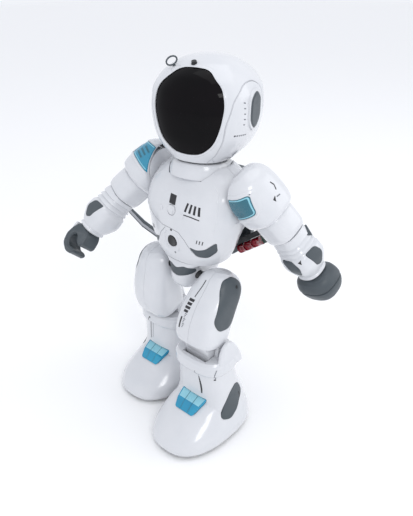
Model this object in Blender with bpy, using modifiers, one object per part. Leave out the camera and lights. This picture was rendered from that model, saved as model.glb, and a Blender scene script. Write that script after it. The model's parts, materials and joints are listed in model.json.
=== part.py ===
"""Walking toy robot, 0.34 m tall: helmet with a dark visor, shell body, swinging arms and walking legs.

Every length below is in millimetres and every angle in degrees. +X is the robot's left, -Y its front, +Z up,
and the soles stand on z = 0. The robot is modelled in the middle of a stride, which is every joint's zero.
"""
import bpy
import bmesh
from math import sin, cos, pi, radians, copysign
from mathutils import Matrix, Vector

MM = 0.001
GAP = 0.3

# ---- driving dimensions -------------------------------------------------------------------------------------
HIP_X, HIP_Y, HIP_Z = 39.5, -18.0, 148.0
THIGH_LENGTH = 56.0
STRIDE = 15.5                      # each thigh leans this far from upright, the left one forward
SHOULDER = (59.0, 4.0, 231.5)
ARM_SPLAY, FOREARM_SPLAY = 31.0, 21.0
ARM_FORWARD = {1: -26.0, -1: 42.0}  # left arm swings back, right arm swings forward
ELBOW_DROP = 47.5
NECK_Y, NECK_Z = 5.0, 249.0
HEAD_TURN, HEAD_ROLL = 16.5, 2.0
WALL = 2.2
MIDDLE_X, MIDDLE_Y = -3.4, -17.4      # middle of the whole robot's box, moved onto the origin
SIDES = ((1, "left"), (-1, "right"))

# ---- section tables: height, centre y, half width, half depth in front, half depth behind, squareness ---------
HELMET = (
    (6, 5, 27, 32, 30, 2.3), (16, 7, 36.5, 39, 40, 2.45), (29, 8, 42.5, 43, 45, 2.6), (46, 8, 45, 44, 47, 2.6),
    (61, 8, 44, 42, 46.5, 2.5), (72.5, 8, 38.5, 35.5, 41.5, 2.3), (81, 9, 28, 25, 31, 2.2),
    (86.5, 9, 14, 12, 16, 2.1), (87.5, 9, 4, 4, 5, 2.0),
)
TORSO = (
    (163, -4, 33, 27, 26, 2.4), (173, -5, 38, 30, 28, 2.5), (184, -5, 42, 31.5, 31, 2.5),
    (197, -2, 46, 35, 34, 2.5), (212, 0, 50, 37, 37, 2.5), (225, 2, 50, 34, 36, 2.4),
    (235, 3, 46, 27, 32, 2.3), (244, 5, 37, 22, 26, 2.2), (249, 6, 29, 19.5, 21, 2.1),
)
PELVIS = (
    (135, -6, 11, 22, 18, 3.0), (140, -6, 13, 26, 22, 3.2), (151, -5, 15, 28, 24, 3.2), (157, -5, 17, 28, 24, 3.0),
    (162.6, -4, 28, 27, 24, 2.6),
)
THIGH = (
    (12, 0, 8, 8, 8, 2.0), (9, 0, 14, 13, 13, 2.3), (2, 0, 18.5, 17.5, 17, 2.6), (-9, -4, 21, 19.5, 18, 3.0),
    (-22, -9, 21.5, 20.5, 19, 3.3), (-36, -12, 21.8, 20.5, 18.5, 3.5), (-47, -12.5, 21.5, 19.5, 17.5, 3.5),
    (-52.5, -12.5, 20, 17.5, 16, 3.4),
)
SHIN = (
    (16, -4, 32, 34, 38, 2.5), (30, -4, 30.5, 26, 36, 2.6), (42, -3, 28.5, 19.5, 30, 2.8),
    (58, -4, 26.5, 19, 23, 2.8), (74, -4, 26, 19.5, 20, 2.8),
)
FOOT = (
    (3, -8, 34, 54, 43, 2.5), (8, -8, 36.5, 57, 46, 2.45), (15, -8, 36.5, 55, 45.5, 2.35),
    (24, -7, 34, 45, 42, 2.25), (32, -6, 30, 33.5, 35, 2.2), (38, -5, 26, 24.5, 28, 2.2), (42, -4, 20, 17, 20, 2.2),
)
SHOULDER_SHELL = (
    (24, 0, 7, 7, 7, 2.0), (21, 0, 13, 15.5, 15.5, 2.1), (12, 0, 18.5, 22, 22, 2.4), (0, 0, 19.5, 23.5, 23.5, 2.6),
    (-12, 0, 19.5, 23, 23, 2.8), (-20, 0, 18.8, 21.5, 21.5, 2.8), (-23, 0, 16.6, 18.5, 18.5, 2.8),
)
UPPER_ARM = (
    (-20, 0, 13.5, 14.5, 14.5, 3.0), (-26, 0, 15.5, 16.5, 16.5, 3.2), (-41, 0, 15, 16, 16, 3.4),
    (-45, 0, 14, 15, 15, 3.2),
)
FOREARM = (
    (3, 0, 12.5, 13.5, 13.5, 3.0), (-4.5, 0, 14, 15, 15, 3.0), (-5, 0, 12.8, 13.8, 13.8, 3.0),
    (-9, 0, 14.4, 15.4, 15.4, 3.0), (-9.5, 0, 13, 14, 14, 3.0), (-13.5, 0, 14.8, 15.8, 15.8, 3.0),
    (-14, 0, 13.6, 14.6, 14.6, 3.0), (-18, 0, 15.8, 16.6, 16.6, 3.2), (-26, 0, 16.2, 17, 17, 3.4),
    (-34, 0, 14, 15, 15, 3.0), (-39.5, 0, 11.6, 12.6, 12.6, 2.6), (-40.5, 0, 11, 12, 12, 2.4),
    (-42.5, 0, 12, 13, 13, 2.4), (-44.5, 0, 10, 11, 11, 2.4),
)
BACKPACK = (
    (150, 35, 15, 8, 10, 3.0), (160, 37, 24, 10, 13, 3.4), (180, 39, 30, 16, 16, 3.6), (199, 40, 33, 20, 17, 3.6),
    (223, 40, 34, 22, 17, 3.6), (233, 39, 31, 20, 14, 3.4),
)


# ---- scene, materials and small helpers ---------------------------------------------------------------------
def clear_scene():
    for old in list(bpy.data.objects):
        bpy.data.objects.remove(old)


def new_collection(name):
    made = bpy.data.collections.new(name)
    bpy.context.scene.collection.children.link(made)
    return made


clear_scene()
PARTS = new_collection("toy_robot")
CUTTERS = new_collection("cutters")


def material(name, colour, roughness, metallic=0.0):
    made = bpy.data.materials.new(name)
    made.use_nodes = True
    shader = made.node_tree.nodes["Principled BSDF"]
    shader.inputs["Base Color"].default_value = (*colour, 1.0)
    shader.inputs["Roughness"].default_value = roughness
    shader.inputs["Metallic"].default_value = metallic
    return made


WHITE = material("white_shell", (0.82, 0.84, 0.87), 0.25)
GREY = material("grey_pad", (0.065, 0.08, 0.09), 0.5)
BLACK = material("black_plastic", (0.012, 0.012, 0.014), 0.4)
VISOR = material("visor_gloss", (0.006, 0.006, 0.008), 0.06)
TEAL = material("teal_panel", (0.02, 0.15, 0.22), 0.35)
BLUE = material("blue_insert", (0.03, 0.38, 0.60), 0.25)
RED = material("red_drum", (0.35, 0.01, 0.03), 0.3)
GREEN = material("green_cap", (0.02, 0.05, 0.04), 0.4)
METAL = material("steel", (0.55, 0.56, 0.58), 0.3, 1.0)
BOARD = material("circuit_board", (0.02, 0.12, 0.05), 0.5)
RUBBER = material("wheel_rubber", (0.03, 0.03, 0.03), 0.8)


def stance_frame():
    """Frame that carries everything: it puts the middle of the whole robot's box over the origin."""
    made = bpy.data.objects.new("stance_frame", None)
    made.location = (-MIDDLE_X * MM, -MIDDLE_Y * MM, 0)
    CUTTERS.objects.link(made)
    return made


STANCE = stance_frame()


def axis_empty(name, parent, location, rotation=(0, 0, 0)):
    """An empty whose origin lies on a joint's axis, with its rotation in degrees."""
    made = bpy.data.objects.new(name, None)
    made.empty_display_size = 10 * MM
    made.location = Vector(location) * MM
    made.rotation_euler = [radians(angle) for angle in rotation]
    made.parent = parent or STANCE
    CUTTERS.objects.link(made)
    return made


def mesh_object(name, mesh_data, paint, parent=None, cutter=False):
    """Turns a bmesh in millimetres into an object in metres."""
    bmesh.ops.recalc_face_normals(mesh_data, faces=mesh_data.faces)
    bmesh.ops.scale(mesh_data, vec=(MM, MM, MM), verts=mesh_data.verts)
    mesh = bpy.data.meshes.new(name)
    mesh_data.to_mesh(mesh)
    mesh_data.free()
    made = bpy.data.objects.new(name, mesh)
    made.parent = parent or STANCE
    if cutter:
        made.hide_render = True
        made.display_type = "WIRE"
        CUTTERS.objects.link(made)
        return made
    mesh.materials.append(paint)
    mesh.shade_smooth()
    mesh.set_sharp_from_angle(angle=radians(35))
    PARTS.objects.link(made)
    return made


def boolean(target, tool, operation="DIFFERENCE"):
    step = target.modifiers.new(operation.lower(), "BOOLEAN")
    step.operation = operation
    step.object = tool
    step.solver = "EXACT"
    return target


# ---- lofted bodies ------------------------------------------------------------------------------------------
def smooth_step_value(before, start, end, after, t):
    """Cubic through start and end with slopes taken from the neighbours on both sides."""
    slope_start, slope_end = (end - before) / 2, (after - start) / 2
    return ((2 * t**3 - 3 * t**2 + 1) * start + (t**3 - 2 * t**2 + t) * slope_start
            + (-2 * t**3 + 3 * t**2) * end + (t**3 - t**2) * slope_end)


def refine(table, steps):
    """Adds smoothly interpolated sections between those of a table."""
    last = len(table) - 1
    rows = []
    for index in range(last):
        four = [table[max(index - 1, 0)], table[index], table[index + 1], table[min(index + 2, last)]]
        for step in range(steps):
            rows.append(tuple(smooth_step_value(*column, step / steps) for column in zip(*four)))
    rows.append(table[last])
    return rows


def ring_points(row, segments, grow=0.0):
    """One superellipse section; grow widens it all round."""
    height, centre, half_width, front, back, power = row
    points = []
    for index in range(segments):
        angle = 2 * pi * (index + 0.5) / segments
        across, along = cos(angle), sin(angle)
        depth = (back if along > 0 else front) + grow
        points.append(Vector((
            (half_width + grow) * copysign(abs(across) ** (2 / power), across),
            centre + depth * copysign(abs(along) ** (2 / power), along),
            height)))
    return points


def loft_mesh(table, segments=24, steps=1, grow=0.0, lift=(0.0, 0.0)):
    """A closed body through a table of sections; lift moves its first and last section in height."""
    rows = refine(table, steps)
    first, last = rows[0], rows[-1]
    rows[0] = (first[0] + lift[0],) + tuple(first[1:])
    rows[-1] = (last[0] + lift[1],) + tuple(last[1:])
    body = bmesh.new()
    rings = [[body.verts.new(p) for p in ring_points(row, segments, grow)] for row in rows]
    for lower, upper in zip(rings, rings[1:]):
        for index in range(segments):
            following = (index + 1) % segments
            body.faces.new((lower[index], lower[following], upper[following], upper[index]))
    body.faces.new(rings[0])
    body.faces.new(rings[-1])
    return body


def loft(name, table, paint, parent=None, cutter=False, **shape):
    return mesh_object(name, loft_mesh(table, **shape), paint, parent, cutter)


def box_mesh(low, high):
    body = bmesh.new()
    bmesh.ops.create_cube(body, size=1.0)
    size = [b - a for a, b in zip(low, high)]
    middle = [(a + b) / 2 for a, b in zip(low, high)]
    bmesh.ops.scale(body, vec=size, verts=body.verts)
    bmesh.ops.translate(body, vec=middle, verts=body.verts)
    return body


def box(name, low, high, paint, parent=None, cutter=False, round_by=0.0):
    made = mesh_object(name, box_mesh(low, high), paint, parent, cutter)
    if round_by:
        soften(made, round_by)
    return made


def soften(target, width, segments=2, angle=40):
    bevel = target.modifiers.new("rounded", "BEVEL")
    bevel.width = width * MM
    bevel.segments = segments
    bevel.limit_method = "ANGLE"
    bevel.angle_limit = radians(angle)
    return target


def cylinder_mesh(start, end, radius, segments=16, end_radius=None):
    start, end = Vector(start), Vector(end)
    along = end - start
    body = bmesh.new()
    bmesh.ops.create_cone(body, cap_ends=True, segments=segments, radius1=radius,
                          radius2=radius if end_radius is None else end_radius, depth=along.length)
    turn = Vector((0, 0, 1)).rotation_difference(along).to_matrix().to_4x4()
    bmesh.ops.transform(body, matrix=Matrix.Translation((start + end) / 2) @ turn, verts=body.verts)
    return body


def cylinder(name, start, end, radius, paint, parent=None, cutter=False, segments=16, end_radius=None):
    return mesh_object(name, cylinder_mesh(start, end, radius, segments, end_radius), paint, parent, cutter)


def rounded_outline(corners, radius, steps=3):
    """A closed outline whose corners are cut by small arcs."""
    points = []
    count = len(corners)
    for index in range(count):
        corner = Vector(corners[index])
        before = Vector(corners[index - 1]) - corner
        after = Vector(corners[(index + 1) % count]) - corner
        reach = min(radius, before.length * 0.45, after.length * 0.45)
        start, end = corner + before.normalized() * reach, corner + after.normalized() * reach
        for step in range(steps + 1):
            t = step / steps
            points.append(start * (1 - t) ** 2 + corner * 2 * t * (1 - t) + end * t * t)
    return points


def grown_outline(points, amount):
    """Moves every point of an outline outward from the outline along its corner's normal."""
    area = sum(a.x * b.y - b.x * a.y for a, b in zip(points, points[1:] + points[:1]))
    sign = 1 if area > 0 else -1
    grown = []
    for index, point in enumerate(points):
        before = (point - points[index - 1]).normalized()
        after = (points[(index + 1) % len(points)] - point).normalized()
        normal = Vector((before.y + after.y, -before.x - after.x)).normalized() * sign
        grown.append(point + normal * amount)
    return grown


def prism_mesh(outline, plane, low, high):
    """An outline in the plane "XZ", "YZ" or "XY" pushed from low to high along the third axis."""
    def place(point, depth):
        if plane == "XZ":
            return Vector((point.x, depth, point.y))
        if plane == "YZ":
            return Vector((depth, point.x, point.y))
        return Vector((point.x, point.y, depth))
    body = bmesh.new()
    near = [body.verts.new(place(p, low)) for p in outline]
    far = [body.verts.new(place(p, high)) for p in outline]
    count = len(outline)
    for index in range(count):
        following = (index + 1) % count
        body.faces.new((near[index], near[following], far[following], far[index]))
    body.faces.new(near)
    body.faces.new(far)
    return body


def prism(name, outline, plane, low, high, paint=None, parent=None, cutter=False):
    return mesh_object(name, prism_mesh(outline, plane, low, high), paint, parent, cutter)


def side_range(side, low, high):
    return (low, high) if side > 0 else (-high, -low)


def mirrored(outline, side):
    return [Vector((p.x * side, p.y)) for p in outline]


# ---- surface plate: a panel that follows a lofted body and fills a pocket cut in it ------------------------------
def surface_plate(name, host, table, outline, plane, depth_range, paint, parent, sink=0.6, thick=1.4,
                  **shape):
    """Cuts a pocket shaped like the outline into the host and fills it with a plate of even thickness."""
    deeper = (depth_range[0] - GAP, depth_range[1] + GAP)
    pocket = prism(name + "_pocket", grown_outline(outline, GAP), plane, *deeper, parent=parent, cutter=True)
    floor_shape = loft(name + "_floor", table, None, parent, True, grow=-(sink + thick + GAP), **shape)
    boolean(pocket, floor_shape)
    boolean(host, pocket)
    plate = loft(name, table, paint, parent, grow=-sink, **shape)
    boolean(plate, prism(name + "_edge", outline, plane, *depth_range, parent=parent, cutter=True), "INTERSECT")
    boolean(plate, loft(name + "_back", table, None, parent, True, grow=-(sink + thick), **shape))
    return plate


# ---- head ---------------------------------------------------------------------------------------------------
VISOR_HALF = ((0, 13.5), (12, 15), (23, 24), (28.5, 38), (31, 54), (28, 67), (13, 79.5), (0, 80.5))
CHEEK = ((-22, 2), (-26, 22), (-27, 42), (-21, 60), (-8, 70), (6, 71), (18, 65), (23, 48), (22, 24), (17, 2))
HELMET_SHAPE = {"segments": 24, "steps": 1}


def symmetric_outline(half, radius):
    """Closes a half outline that runs from bottom to top on the +X side."""
    corners = [Vector(p) for p in half] + [Vector((-x, y)) for x, y in reversed(half[1:-1])]
    return rounded_outline(corners, radius, 2)


def build_head(axis):
    """Helmet shells, visor, cheek panels, ear pads and what sits inside."""
    def shell(name):
        made = loft(name, HELMET, WHITE, axis, **HELMET_SHAPE)
        inside = loft(name + "_hollow", HELMET, None, axis, True, grow=-WALL, lift=(-4.0, -WALL), **HELMET_SHAPE)
        return boolean(made, inside)
    split = 27.0
    front, rear = shell("helmet_front_shell"), shell("helmet_rear_shell")
    boolean(front, box("helmet_behind", (-70, split, -20), (70, 90, 120), None, axis, True))
    boolean(rear, box("helmet_ahead", (-70, -90, -20), (70, split + GAP, 120), None, axis, True))

    outline = symmetric_outline(VISOR_HALF, 9)
    boolean(front, prism("visor_window", grown_outline(outline, GAP), "XZ", -60, 0, parent=axis, cutter=True))
    visor = loft("visor", HELMET, VISOR, axis, grow=-0.9, **HELMET_SHAPE)
    boolean(visor, prism("visor_edge", outline, "XZ", -60, 0, parent=axis, cutter=True), "INTERSECT")
    boolean(visor, loft("visor_back", HELMET, None, axis, True, grow=-2.9, **HELMET_SHAPE))

    cheek = rounded_outline(CHEEK, 6, 2)
    for side, word in SIDES:
        reach = side_range(side, 20, 60)
        opening = side_range(side, 20 - GAP, 60)
        window = prism(word + "_cheek_window", grown_outline(cheek, GAP), "YZ", *opening, parent=axis, cutter=True)
        boolean(front, window)
        panel = loft(word + "_cheek_panel", HELMET, WHITE, axis, **HELMET_SHAPE)
        boolean(panel, prism(word + "_cheek_edge", cheek, "YZ", *reach, parent=axis, cutter=True), "INTERSECT")
        boolean(panel, loft(word + "_cheek_back", HELMET, None, axis, True, grow=-WALL, lift=(-4.0, 0.0),
                            **HELMET_SHAPE))
        ear_frame = axis_empty(word + "_ear_place", axis, (side * 42.6, 4, 48))
        ear_outline = rounded_outline([(12, 12), (0, 19), (-12, 12), (-13, -8), (0, -19), (13, -8)], 9, 3)
        boolean(panel, prism(word + "_ear_rim", ear_outline, "YZ", *side_range(side, -2.6, 2.2),
                             parent=ear_frame, cutter=True), "UNION")
        boolean(panel, prism(word + "_ear_well", grown_outline(ear_outline, -2.2), "YZ",
                             *side_range(side, -0.5, 9), parent=ear_frame, cutter=True))
        pad = prism(word + "_ear_pad", grown_outline(ear_outline, -2.5), "YZ", *side_range(side, -0.2, 3.2),
                    GREY, ear_frame)
        soften(pad, 1.2, 1)

    cylinder("forehead_sensor", (-3, -12.2, 81.4), (-3, -13.4, 84.8), 2.2, BLACK, axis, segments=12)
    boolean(front, cylinder("forehead_hole", (-3, -9.9, 75), (-3, -16, 91.2), 2.5, None, axis, True, segments=12))
    build_helmet_loop(axis, front)
    neck = cylinder("neck_post", (0, 0, 1.6), (0, 0, 12), 17.5, WHITE, axis, segments=24)
    boolean(neck, cylinder("neck_spindle", (0, 0, -19), (0, 0, 16), 8, None, axis, True, segments=16), "UNION")


def build_helmet_loop(axis, front):
    """Small flat ring that stands on the helmet's right brow, with a foot through the shell."""
    frame = axis_empty("loop_place", axis, (-20, -12, 77.4), (0, -30, 30))
    ring = bmesh.new()
    rings = []
    for index in range(14):
        angle = 2 * pi * index / 14
        centre = Vector((4.6 * cos(angle), 0, 6.6 + 3.2 * sin(angle)))
        outward = Vector((cos(angle), 0, sin(angle)))
        rings.append([ring.verts.new(centre + outward * 0.7 * cos(a) + Vector((0, 0.7 * sin(a), 0)))
                      for a in (0, pi / 3, 2 * pi / 3, pi, 4 * pi / 3, 5 * pi / 3)])
    for index, current in enumerate(rings):
        following = rings[(index + 1) % len(rings)]
        for step in range(6):
            ring.faces.new((current[step], current[(step + 1) % 6], following[(step + 1) % 6], following[step]))
    loop = mesh_object("helmet_loop", ring, GREY, frame)
    foot = box("loop_foot", (-1.0, -0.6, -2.0), (1.0, 0.6, 3.4), None, frame, True)
    boolean(loop, foot, "UNION")
    boolean(front, box("loop_slot", (-1.4, -1.0, -8.0), (1.4, 1.0, 5.0), None, frame, True))


# ---- torso --------------------------------------------------------------------------------------------------
TORSO_SHAPE = {"segments": 28, "steps": 1}
WAIST_LEAF = ((18, 184), (25, 181.5), (32, 183), (39.5, 190), (38, 180), (32, 174), (24, 175))
BAND = ((-15, 158), (-8, 159.5), (0, 156.5), (8, 159.5), (15, 158), (14, 152), (0, 148.5), (-14, 152))


COLLAR_PROFILE = ((18.6, 1.6), (24.6, 1.6), (26.4, 0.2), (28.6, -6), (28.8, -11.5), (24.0, -11.5), (18.6, -1.5))


def build_torso():
    """Chest and back shells with the collar, sensors, buttons and waist inserts."""
    def shell(name):
        made = loft(name, TORSO, WHITE, **TORSO_SHAPE)
        inside = loft(name + "_hollow", TORSO, None, None, True, grow=-WALL, lift=(WALL, 4.0), **TORSO_SHAPE)
        boolean(made, inside)
        for side, word in SIDES:
            flat = box(f"{name}_{word}_flat", *zip(side_range(side, 48.4, 70), (-60, 60), (206, 280)),
                       None, cutter=True)
            boolean(made, flat)
            boolean(made, cylinder(f"{name}_{word}_bore", (side * 30, *SHOULDER[1:]), (side * 70, *SHOULDER[1:]), 6.3, None,
                                   cutter=True))
        return made
    split = 3.0
    front, rear = shell("chest_front_shell"), shell("chest_rear_shell")
    boolean(front, box("chest_behind", (-90, split, 140), (90, 90, 290), None, cutter=True))
    boolean(rear, box("chest_ahead", (-90, -90, 140), (90, split + GAP, 290), None, cutter=True))

    leaf = rounded_outline(WAIST_LEAF, 2.5, 2)
    for side, word in SIDES:
        surface_plate(word + "_waist_insert", front, TORSO, mirrored(leaf, side), "XZ", (-60, -8), GREY, None,
                      0.3, 1.2, **TORSO_SHAPE)
    surface_button("sensor_window", front, 0, 185, 5.2, BLACK, 0.9)
    surface_button("mode_button", front, 0, 214.5, 4.6, WHITE, 1.0)

    collar_frame = axis_empty("collar_place", None, (0, NECK_Y, NECK_Z), (-6, 0, 0))
    turned("collar_ring", COLLAR_PROFILE, WHITE, collar_frame, 24)
    relief = turned("collar_relief", [(0.001, 8), (27.2, 8), (27.2, 0.6), (29.2, -5.6), (29.4, -12), (0.001, -12)], None,
                    collar_frame, 24, cutter=True)
    for half in (front, rear):
        boolean(half, relief)


def turned(name, profile, paint, parent, segments, cutter=False):
    """A turned ring whose closed profile runs in the XZ plane."""
    body = bmesh.new()
    rings = []
    for index in range(segments):
        angle = 2 * pi * index / segments
        rings.append([body.verts.new((r * cos(angle), r * sin(angle), z)) for r, z in profile])
    for index, current in enumerate(rings):
        following = rings[(index + 1) % segments]
        for step in range(len(profile)):
            after = (step + 1) % len(profile)
            body.faces.new((current[step], following[step], following[after], current[after]))
    return mesh_object(name, body, paint, parent, cutter)


def front_face(table, height, x):
    """Front surface y of a lofted table at one height and x."""
    rows = refine(table, 1)
    for lower, upper in zip(rows, rows[1:]):
        if lower[0] <= height <= upper[0]:
            t = (height - lower[0]) / (upper[0] - lower[0])
            row = [a + (b - a) * t for a, b in zip(lower, upper)]
            _, centre, half_width, front, _, power = row
            return centre - front * (1 - abs(x / half_width) ** power) ** (1 / power)
    return 0.0


def surface_button(name, host, x, z, radius, paint, proud, segments=16):
    """A short round stud through the chest wall, standing a little proud of it."""
    face = front_face(TORSO, z, x)
    made = cylinder(name, (x, face - proud, z), (x, face + 5.0, z), radius, paint, segments=segments)
    soften(made, 0.4, 1, 60)
    boolean(host, cylinder(name + "_hole", (x, face - 8, z), (x, face + 8, z), radius + GAP / 0.9, None,
                           cutter=True, segments=segments))
    return made


def build_pelvis():
    pelvis = loft("pelvis_shell", PELVIS, WHITE, segments=24)
    boolean(pelvis, loft("pelvis_hollow", PELVIS, None, None, True, grow=-WALL, lift=(WALL, 4.0), segments=24))
    boolean(pelvis, cylinder("hip_bore", (-40, HIP_Y, HIP_Z), (40, HIP_Y, HIP_Z), 4.4, None, cutter=True,
                             segments=12))
    surface_plate("pelvis_band", pelvis, PELVIS, rounded_outline(BAND, 2, 2), "XZ", (-60, -15), GREY, None,
                  0.2, 1.2, segments=24)
    gearbox = box("hip_gearbox", (-8, -25, 141), (8, 8, 156), BLACK)
    boolean(gearbox, cylinder("hip_spindle", (-54, HIP_Y, HIP_Z), (54, HIP_Y, HIP_Z), 4.0, None, cutter=True,
                              segments=12), "UNION")


# ---- what the torso holds -----------------------------------------------------------------------------------
def build_insides():
    box("main_circuit_board", (-26, 12, 180), (26, 13.6, 212), BOARD)
    cylinder("speaker", (0, -9, 194), (0, 1, 194), 14, BLACK, segments=16, end_radius=10)


# ---- backpack -----------------------------------------------------------------------------------------------
def build_backpack():
    """Dark battery housing on the back, with its door, switch and the two side pieces."""
    shape = {"segments": 24, "steps": 1}
    pack = loft("backpack_shell", BACKPACK, GREY, **shape)
    boolean(pack, loft("torso_clearance", TORSO, None, None, True, grow=GAP, **TORSO_SHAPE))
    boolean(pack, box("battery_bay", (-25, 39.5, 188), (25, 70, 224), None, cutter=True))
    door = loft("battery_door", BACKPACK, GREY, **shape)
    boolean(door, box("door_edge", (-24.7, 53.3, 188.3), (24.7, 70, 223.7), None, cutter=True), "INTERSECT")
    box("battery_pack", (-24, 40.2, 189), (24, 52.9, 222), BLUE)
    boolean(pack, box("switch_slot", (-5.3, 43.6, 228.0), (5.3, 48.2, 240), None, cutter=True))
    box("power_switch", (-4.9, 44, 228.4), (-0.1, 47.8, 235), BLACK)
    build_left_wing(pack)
    build_right_wing(pack)


def along_frame(name, start, end):
    """An empty at start whose X axis points at end."""
    along = Vector(end) - Vector(start)
    made = axis_empty(name, None, start)
    made.rotation_euler = Vector((1, 0, 0)).rotation_difference(along).to_euler()
    return made, along.length


def build_left_wing(pack):
    frame, length = along_frame("left_wing_frame", (19, 31, 163), (50, 29, 185))
    rail = box("left_wing_rail", (-4, -4, -1.5), (length + 5, 4, 3.5), BLACK, frame)
    drums = bmesh.new()
    for index in range(3):
        start = 2 + index * 11.4
        append(drums, cylinder_mesh((start, 0, -6.2), (start + 9, 0, -6.2), 4.4, 14))
    drum_set = mesh_object("red_drums", drums, RED, frame)
    boolean(drum_set, cylinder("drum_axle", (3, 0, -6.2), (33, 0, -6.2), 1.6, None, frame, True, segments=10), "UNION")
    cap = box("green_cap", (length - 1.5, -3.6, -10), (length + 8, 3.6, -1.8), GREEN, frame, round_by=0.8)
    bracket = box("left_wing_bracket", (-8, -3, -1), (-3, 9, 24), None, frame, True)
    boolean(rail, bracket, "UNION")
    boolean(pack, box("left_wing_clearance", (-8.4, -5, -11.2), (length + 8, 9.4, 24.4), None, frame, True))
    return rail, cap


def build_right_wing(pack):
    frame = axis_empty("right_wing_frame", None, (-26, 33, 158), (0, 0, 8))
    outline = [Vector(p) for p in ((0, -4), (-30, -18), (-53, -21.5), (-80, -11), (-102, 5), (-104, 9.5),
                                   (-99, 9), (-78, -4), (-53, -14), (-32, -10.5), (-4, 4), (6, 9), (6, 2))]
    blade = prism("right_wing_blade", outline, "XZ", -1.6, 1.6, GREY, frame)
    boolean(pack, prism("right_wing_clearance", grown_outline(outline, GAP), "XZ", -1.9, 1.9, parent=frame,
                        cutter=True))
    return blade


def append(target, piece):
    """Adds the vertices and faces of one bmesh to another."""
    copies = {vertex: target.verts.new(vertex.co) for vertex in piece.verts}
    for face in piece.faces:
        target.faces.new([copies[vertex] for vertex in face.verts])
    piece.free()


# ---- arms ---------------------------------------------------------------------------------------------------
SHOULDER_PANEL = ((-9, 15), (16, 9), (14, -7), (-17, -7))
FOREARM_PAD = ((-8, -15.5), (5, -16.5), (9, -25), (4, -35), (-3, -32))


def build_arm(side, word):
    """One arm, from the shoulder shell to the hand, in its own tilted frames."""
    swing = axis_empty(word + "_shoulder_axis", None, (side * SHOULDER[0], *SHOULDER[1:]),
                       (-ARM_FORWARD[side], 0, 0))
    arm = axis_empty(word + "_arm_frame", swing, (0, 0, 0), (0, -side * ARM_SPLAY, 0))
    shoulder = loft(word + "_shoulder_shell", SHOULDER_SHELL, WHITE, arm, segments=20)
    boolean(shoulder, loft(word + "_shoulder_hollow", SHOULDER_SHELL, None, arm, True, grow=-WALL,
                           lift=(-WALL, -4), segments=20))
    keep = side_range(side, 49.2 - SHOULDER[0], 60)
    boolean(shoulder, box(word + "_shoulder_side", *zip(keep, (-60, 60), (-70, 60)), None, swing, True),
            "INTERSECT")
    panel_outline = mirrored(rounded_outline(SHOULDER_PANEL, 3, 2), side)
    panel = surface_plate(word + "_shoulder_panel", shoulder, SHOULDER_SHELL, panel_outline, "XZ", (-45, -10),
                          TEAL, arm, 0.3, 1.1, segments=20)
    inner_limit = side_range(side, 49.5 - SHOULDER[0], 60)
    boolean(panel, box(word + "_panel_side", *zip(inner_limit, (-60, 60), (-70, 60)), None, swing, True),
            "INTERSECT")
    boolean(shoulder, cylinder(word + "_shoulder_spindle", (side * -28, 0, 0), (side * -8, 0, 0), 5.9, None, swing,
                               True, segments=16), "UNION")
    boolean(shoulder, cylinder(word + "_shoulder_plate", (side * -10.1, 0, 0), (side * -6.7, 0, 0), 18.2, None, swing,
                               True, segments=20), "UNION")

    upper = loft(word + "_upper_arm", UPPER_ARM, WHITE, arm, segments=16)
    boolean(upper, cylinder(word + "_arm_boss", (0, 0, -26), (0, 0, -7), 9.0, None, arm, True), "UNION")
    boolean(shoulder, loft(word + "_arm_clearance", UPPER_ARM, None, arm, True, grow=0.4, lift=(0.5, 0),
                           segments=16))
    boolean(upper, cylinder(word + "_elbow_bore", (0, 0, -60), (0, 0, -34), 4.4, None, arm, True, segments=12))

    level = axis_empty(word + "_elbow_axis", arm, (0, 0, -ELBOW_DROP))
    elbow = axis_empty(word + "_forearm_frame", level, (0, 0, 0), (0, side * (ARM_SPLAY - FOREARM_SPLAY), 0))
    build_forearm(side, word, level, elbow)
    if side > 0:
        build_closed_hand(word, elbow)
    else:
        build_gripping_hand(side, word, elbow)


def build_forearm(side, word, level, elbow):
    """Stepped sleeve and forearm in one moulding, with a spindle that turns in the upper arm."""
    forearm = loft(word + "_forearm_shell", FOREARM, WHITE, elbow, segments=16)
    boolean(forearm, box(word + "_sleeve_top", (-30, -30, 1.6), (30, 30, 10), None, level, True))
    boolean(forearm, cylinder(word + "_elbow_spindle", (0, 0, 11), (0, 0, -6), 4.0, None, level, True,
                              segments=12), "UNION")
    pad = rounded_outline(FOREARM_PAD, 3, 2)
    plates = []
    for tag, plane, reach in (("front", "XZ", (-40, -4)), ("outer", "YZ", side_range(side, 6, 40))):
        points = mirrored(pad, side) if plane == "XZ" else pad
        pocket = prism(f"{word}_{tag}_pad_pocket", grown_outline(points, GAP), plane, *reach, parent=elbow,
                       cutter=True)
        plates.append((points, plane, reach))
        boolean(pocket, loft(f"{word}_{tag}_pad_floor", FOREARM, None, elbow, True, grow=-1.5, segments=16))
        boolean(forearm, pocket)
    edges = bmesh.new()
    for points, plane, reach in plates:
        append(edges, prism_mesh(points, plane, *reach))
    pads = loft(word + "_forearm_pads", FOREARM, GREY, elbow, segments=16)
    boolean(pads, mesh_object(word + "_pads_edge", edges, None, elbow, True), "INTERSECT")
    boolean(pads, loft(word + "_pads_back", FOREARM, None, elbow, True, grow=-1.2, segments=16))
    for tag, low, high in (("front", (-3, -16.2, -27), (3, 3, -22)), ("outer", (-2.6, -2.6, -26.6), (15.4, 2.6, -22.4))):
        low, high = (Vector((side * v[0], v[1], v[2])) for v in (low, high))
        low.x, high.x = sorted((low.x, high.x))
        spread = Vector((GAP, GAP, GAP))
        boolean(pads, box(f"{word}_{tag}_pad_stem", low, high, None, elbow, True), "UNION")
        boolean(forearm, box(f"{word}_{tag}_pad_socket", low - spread, high + spread, None, elbow, True))


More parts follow.
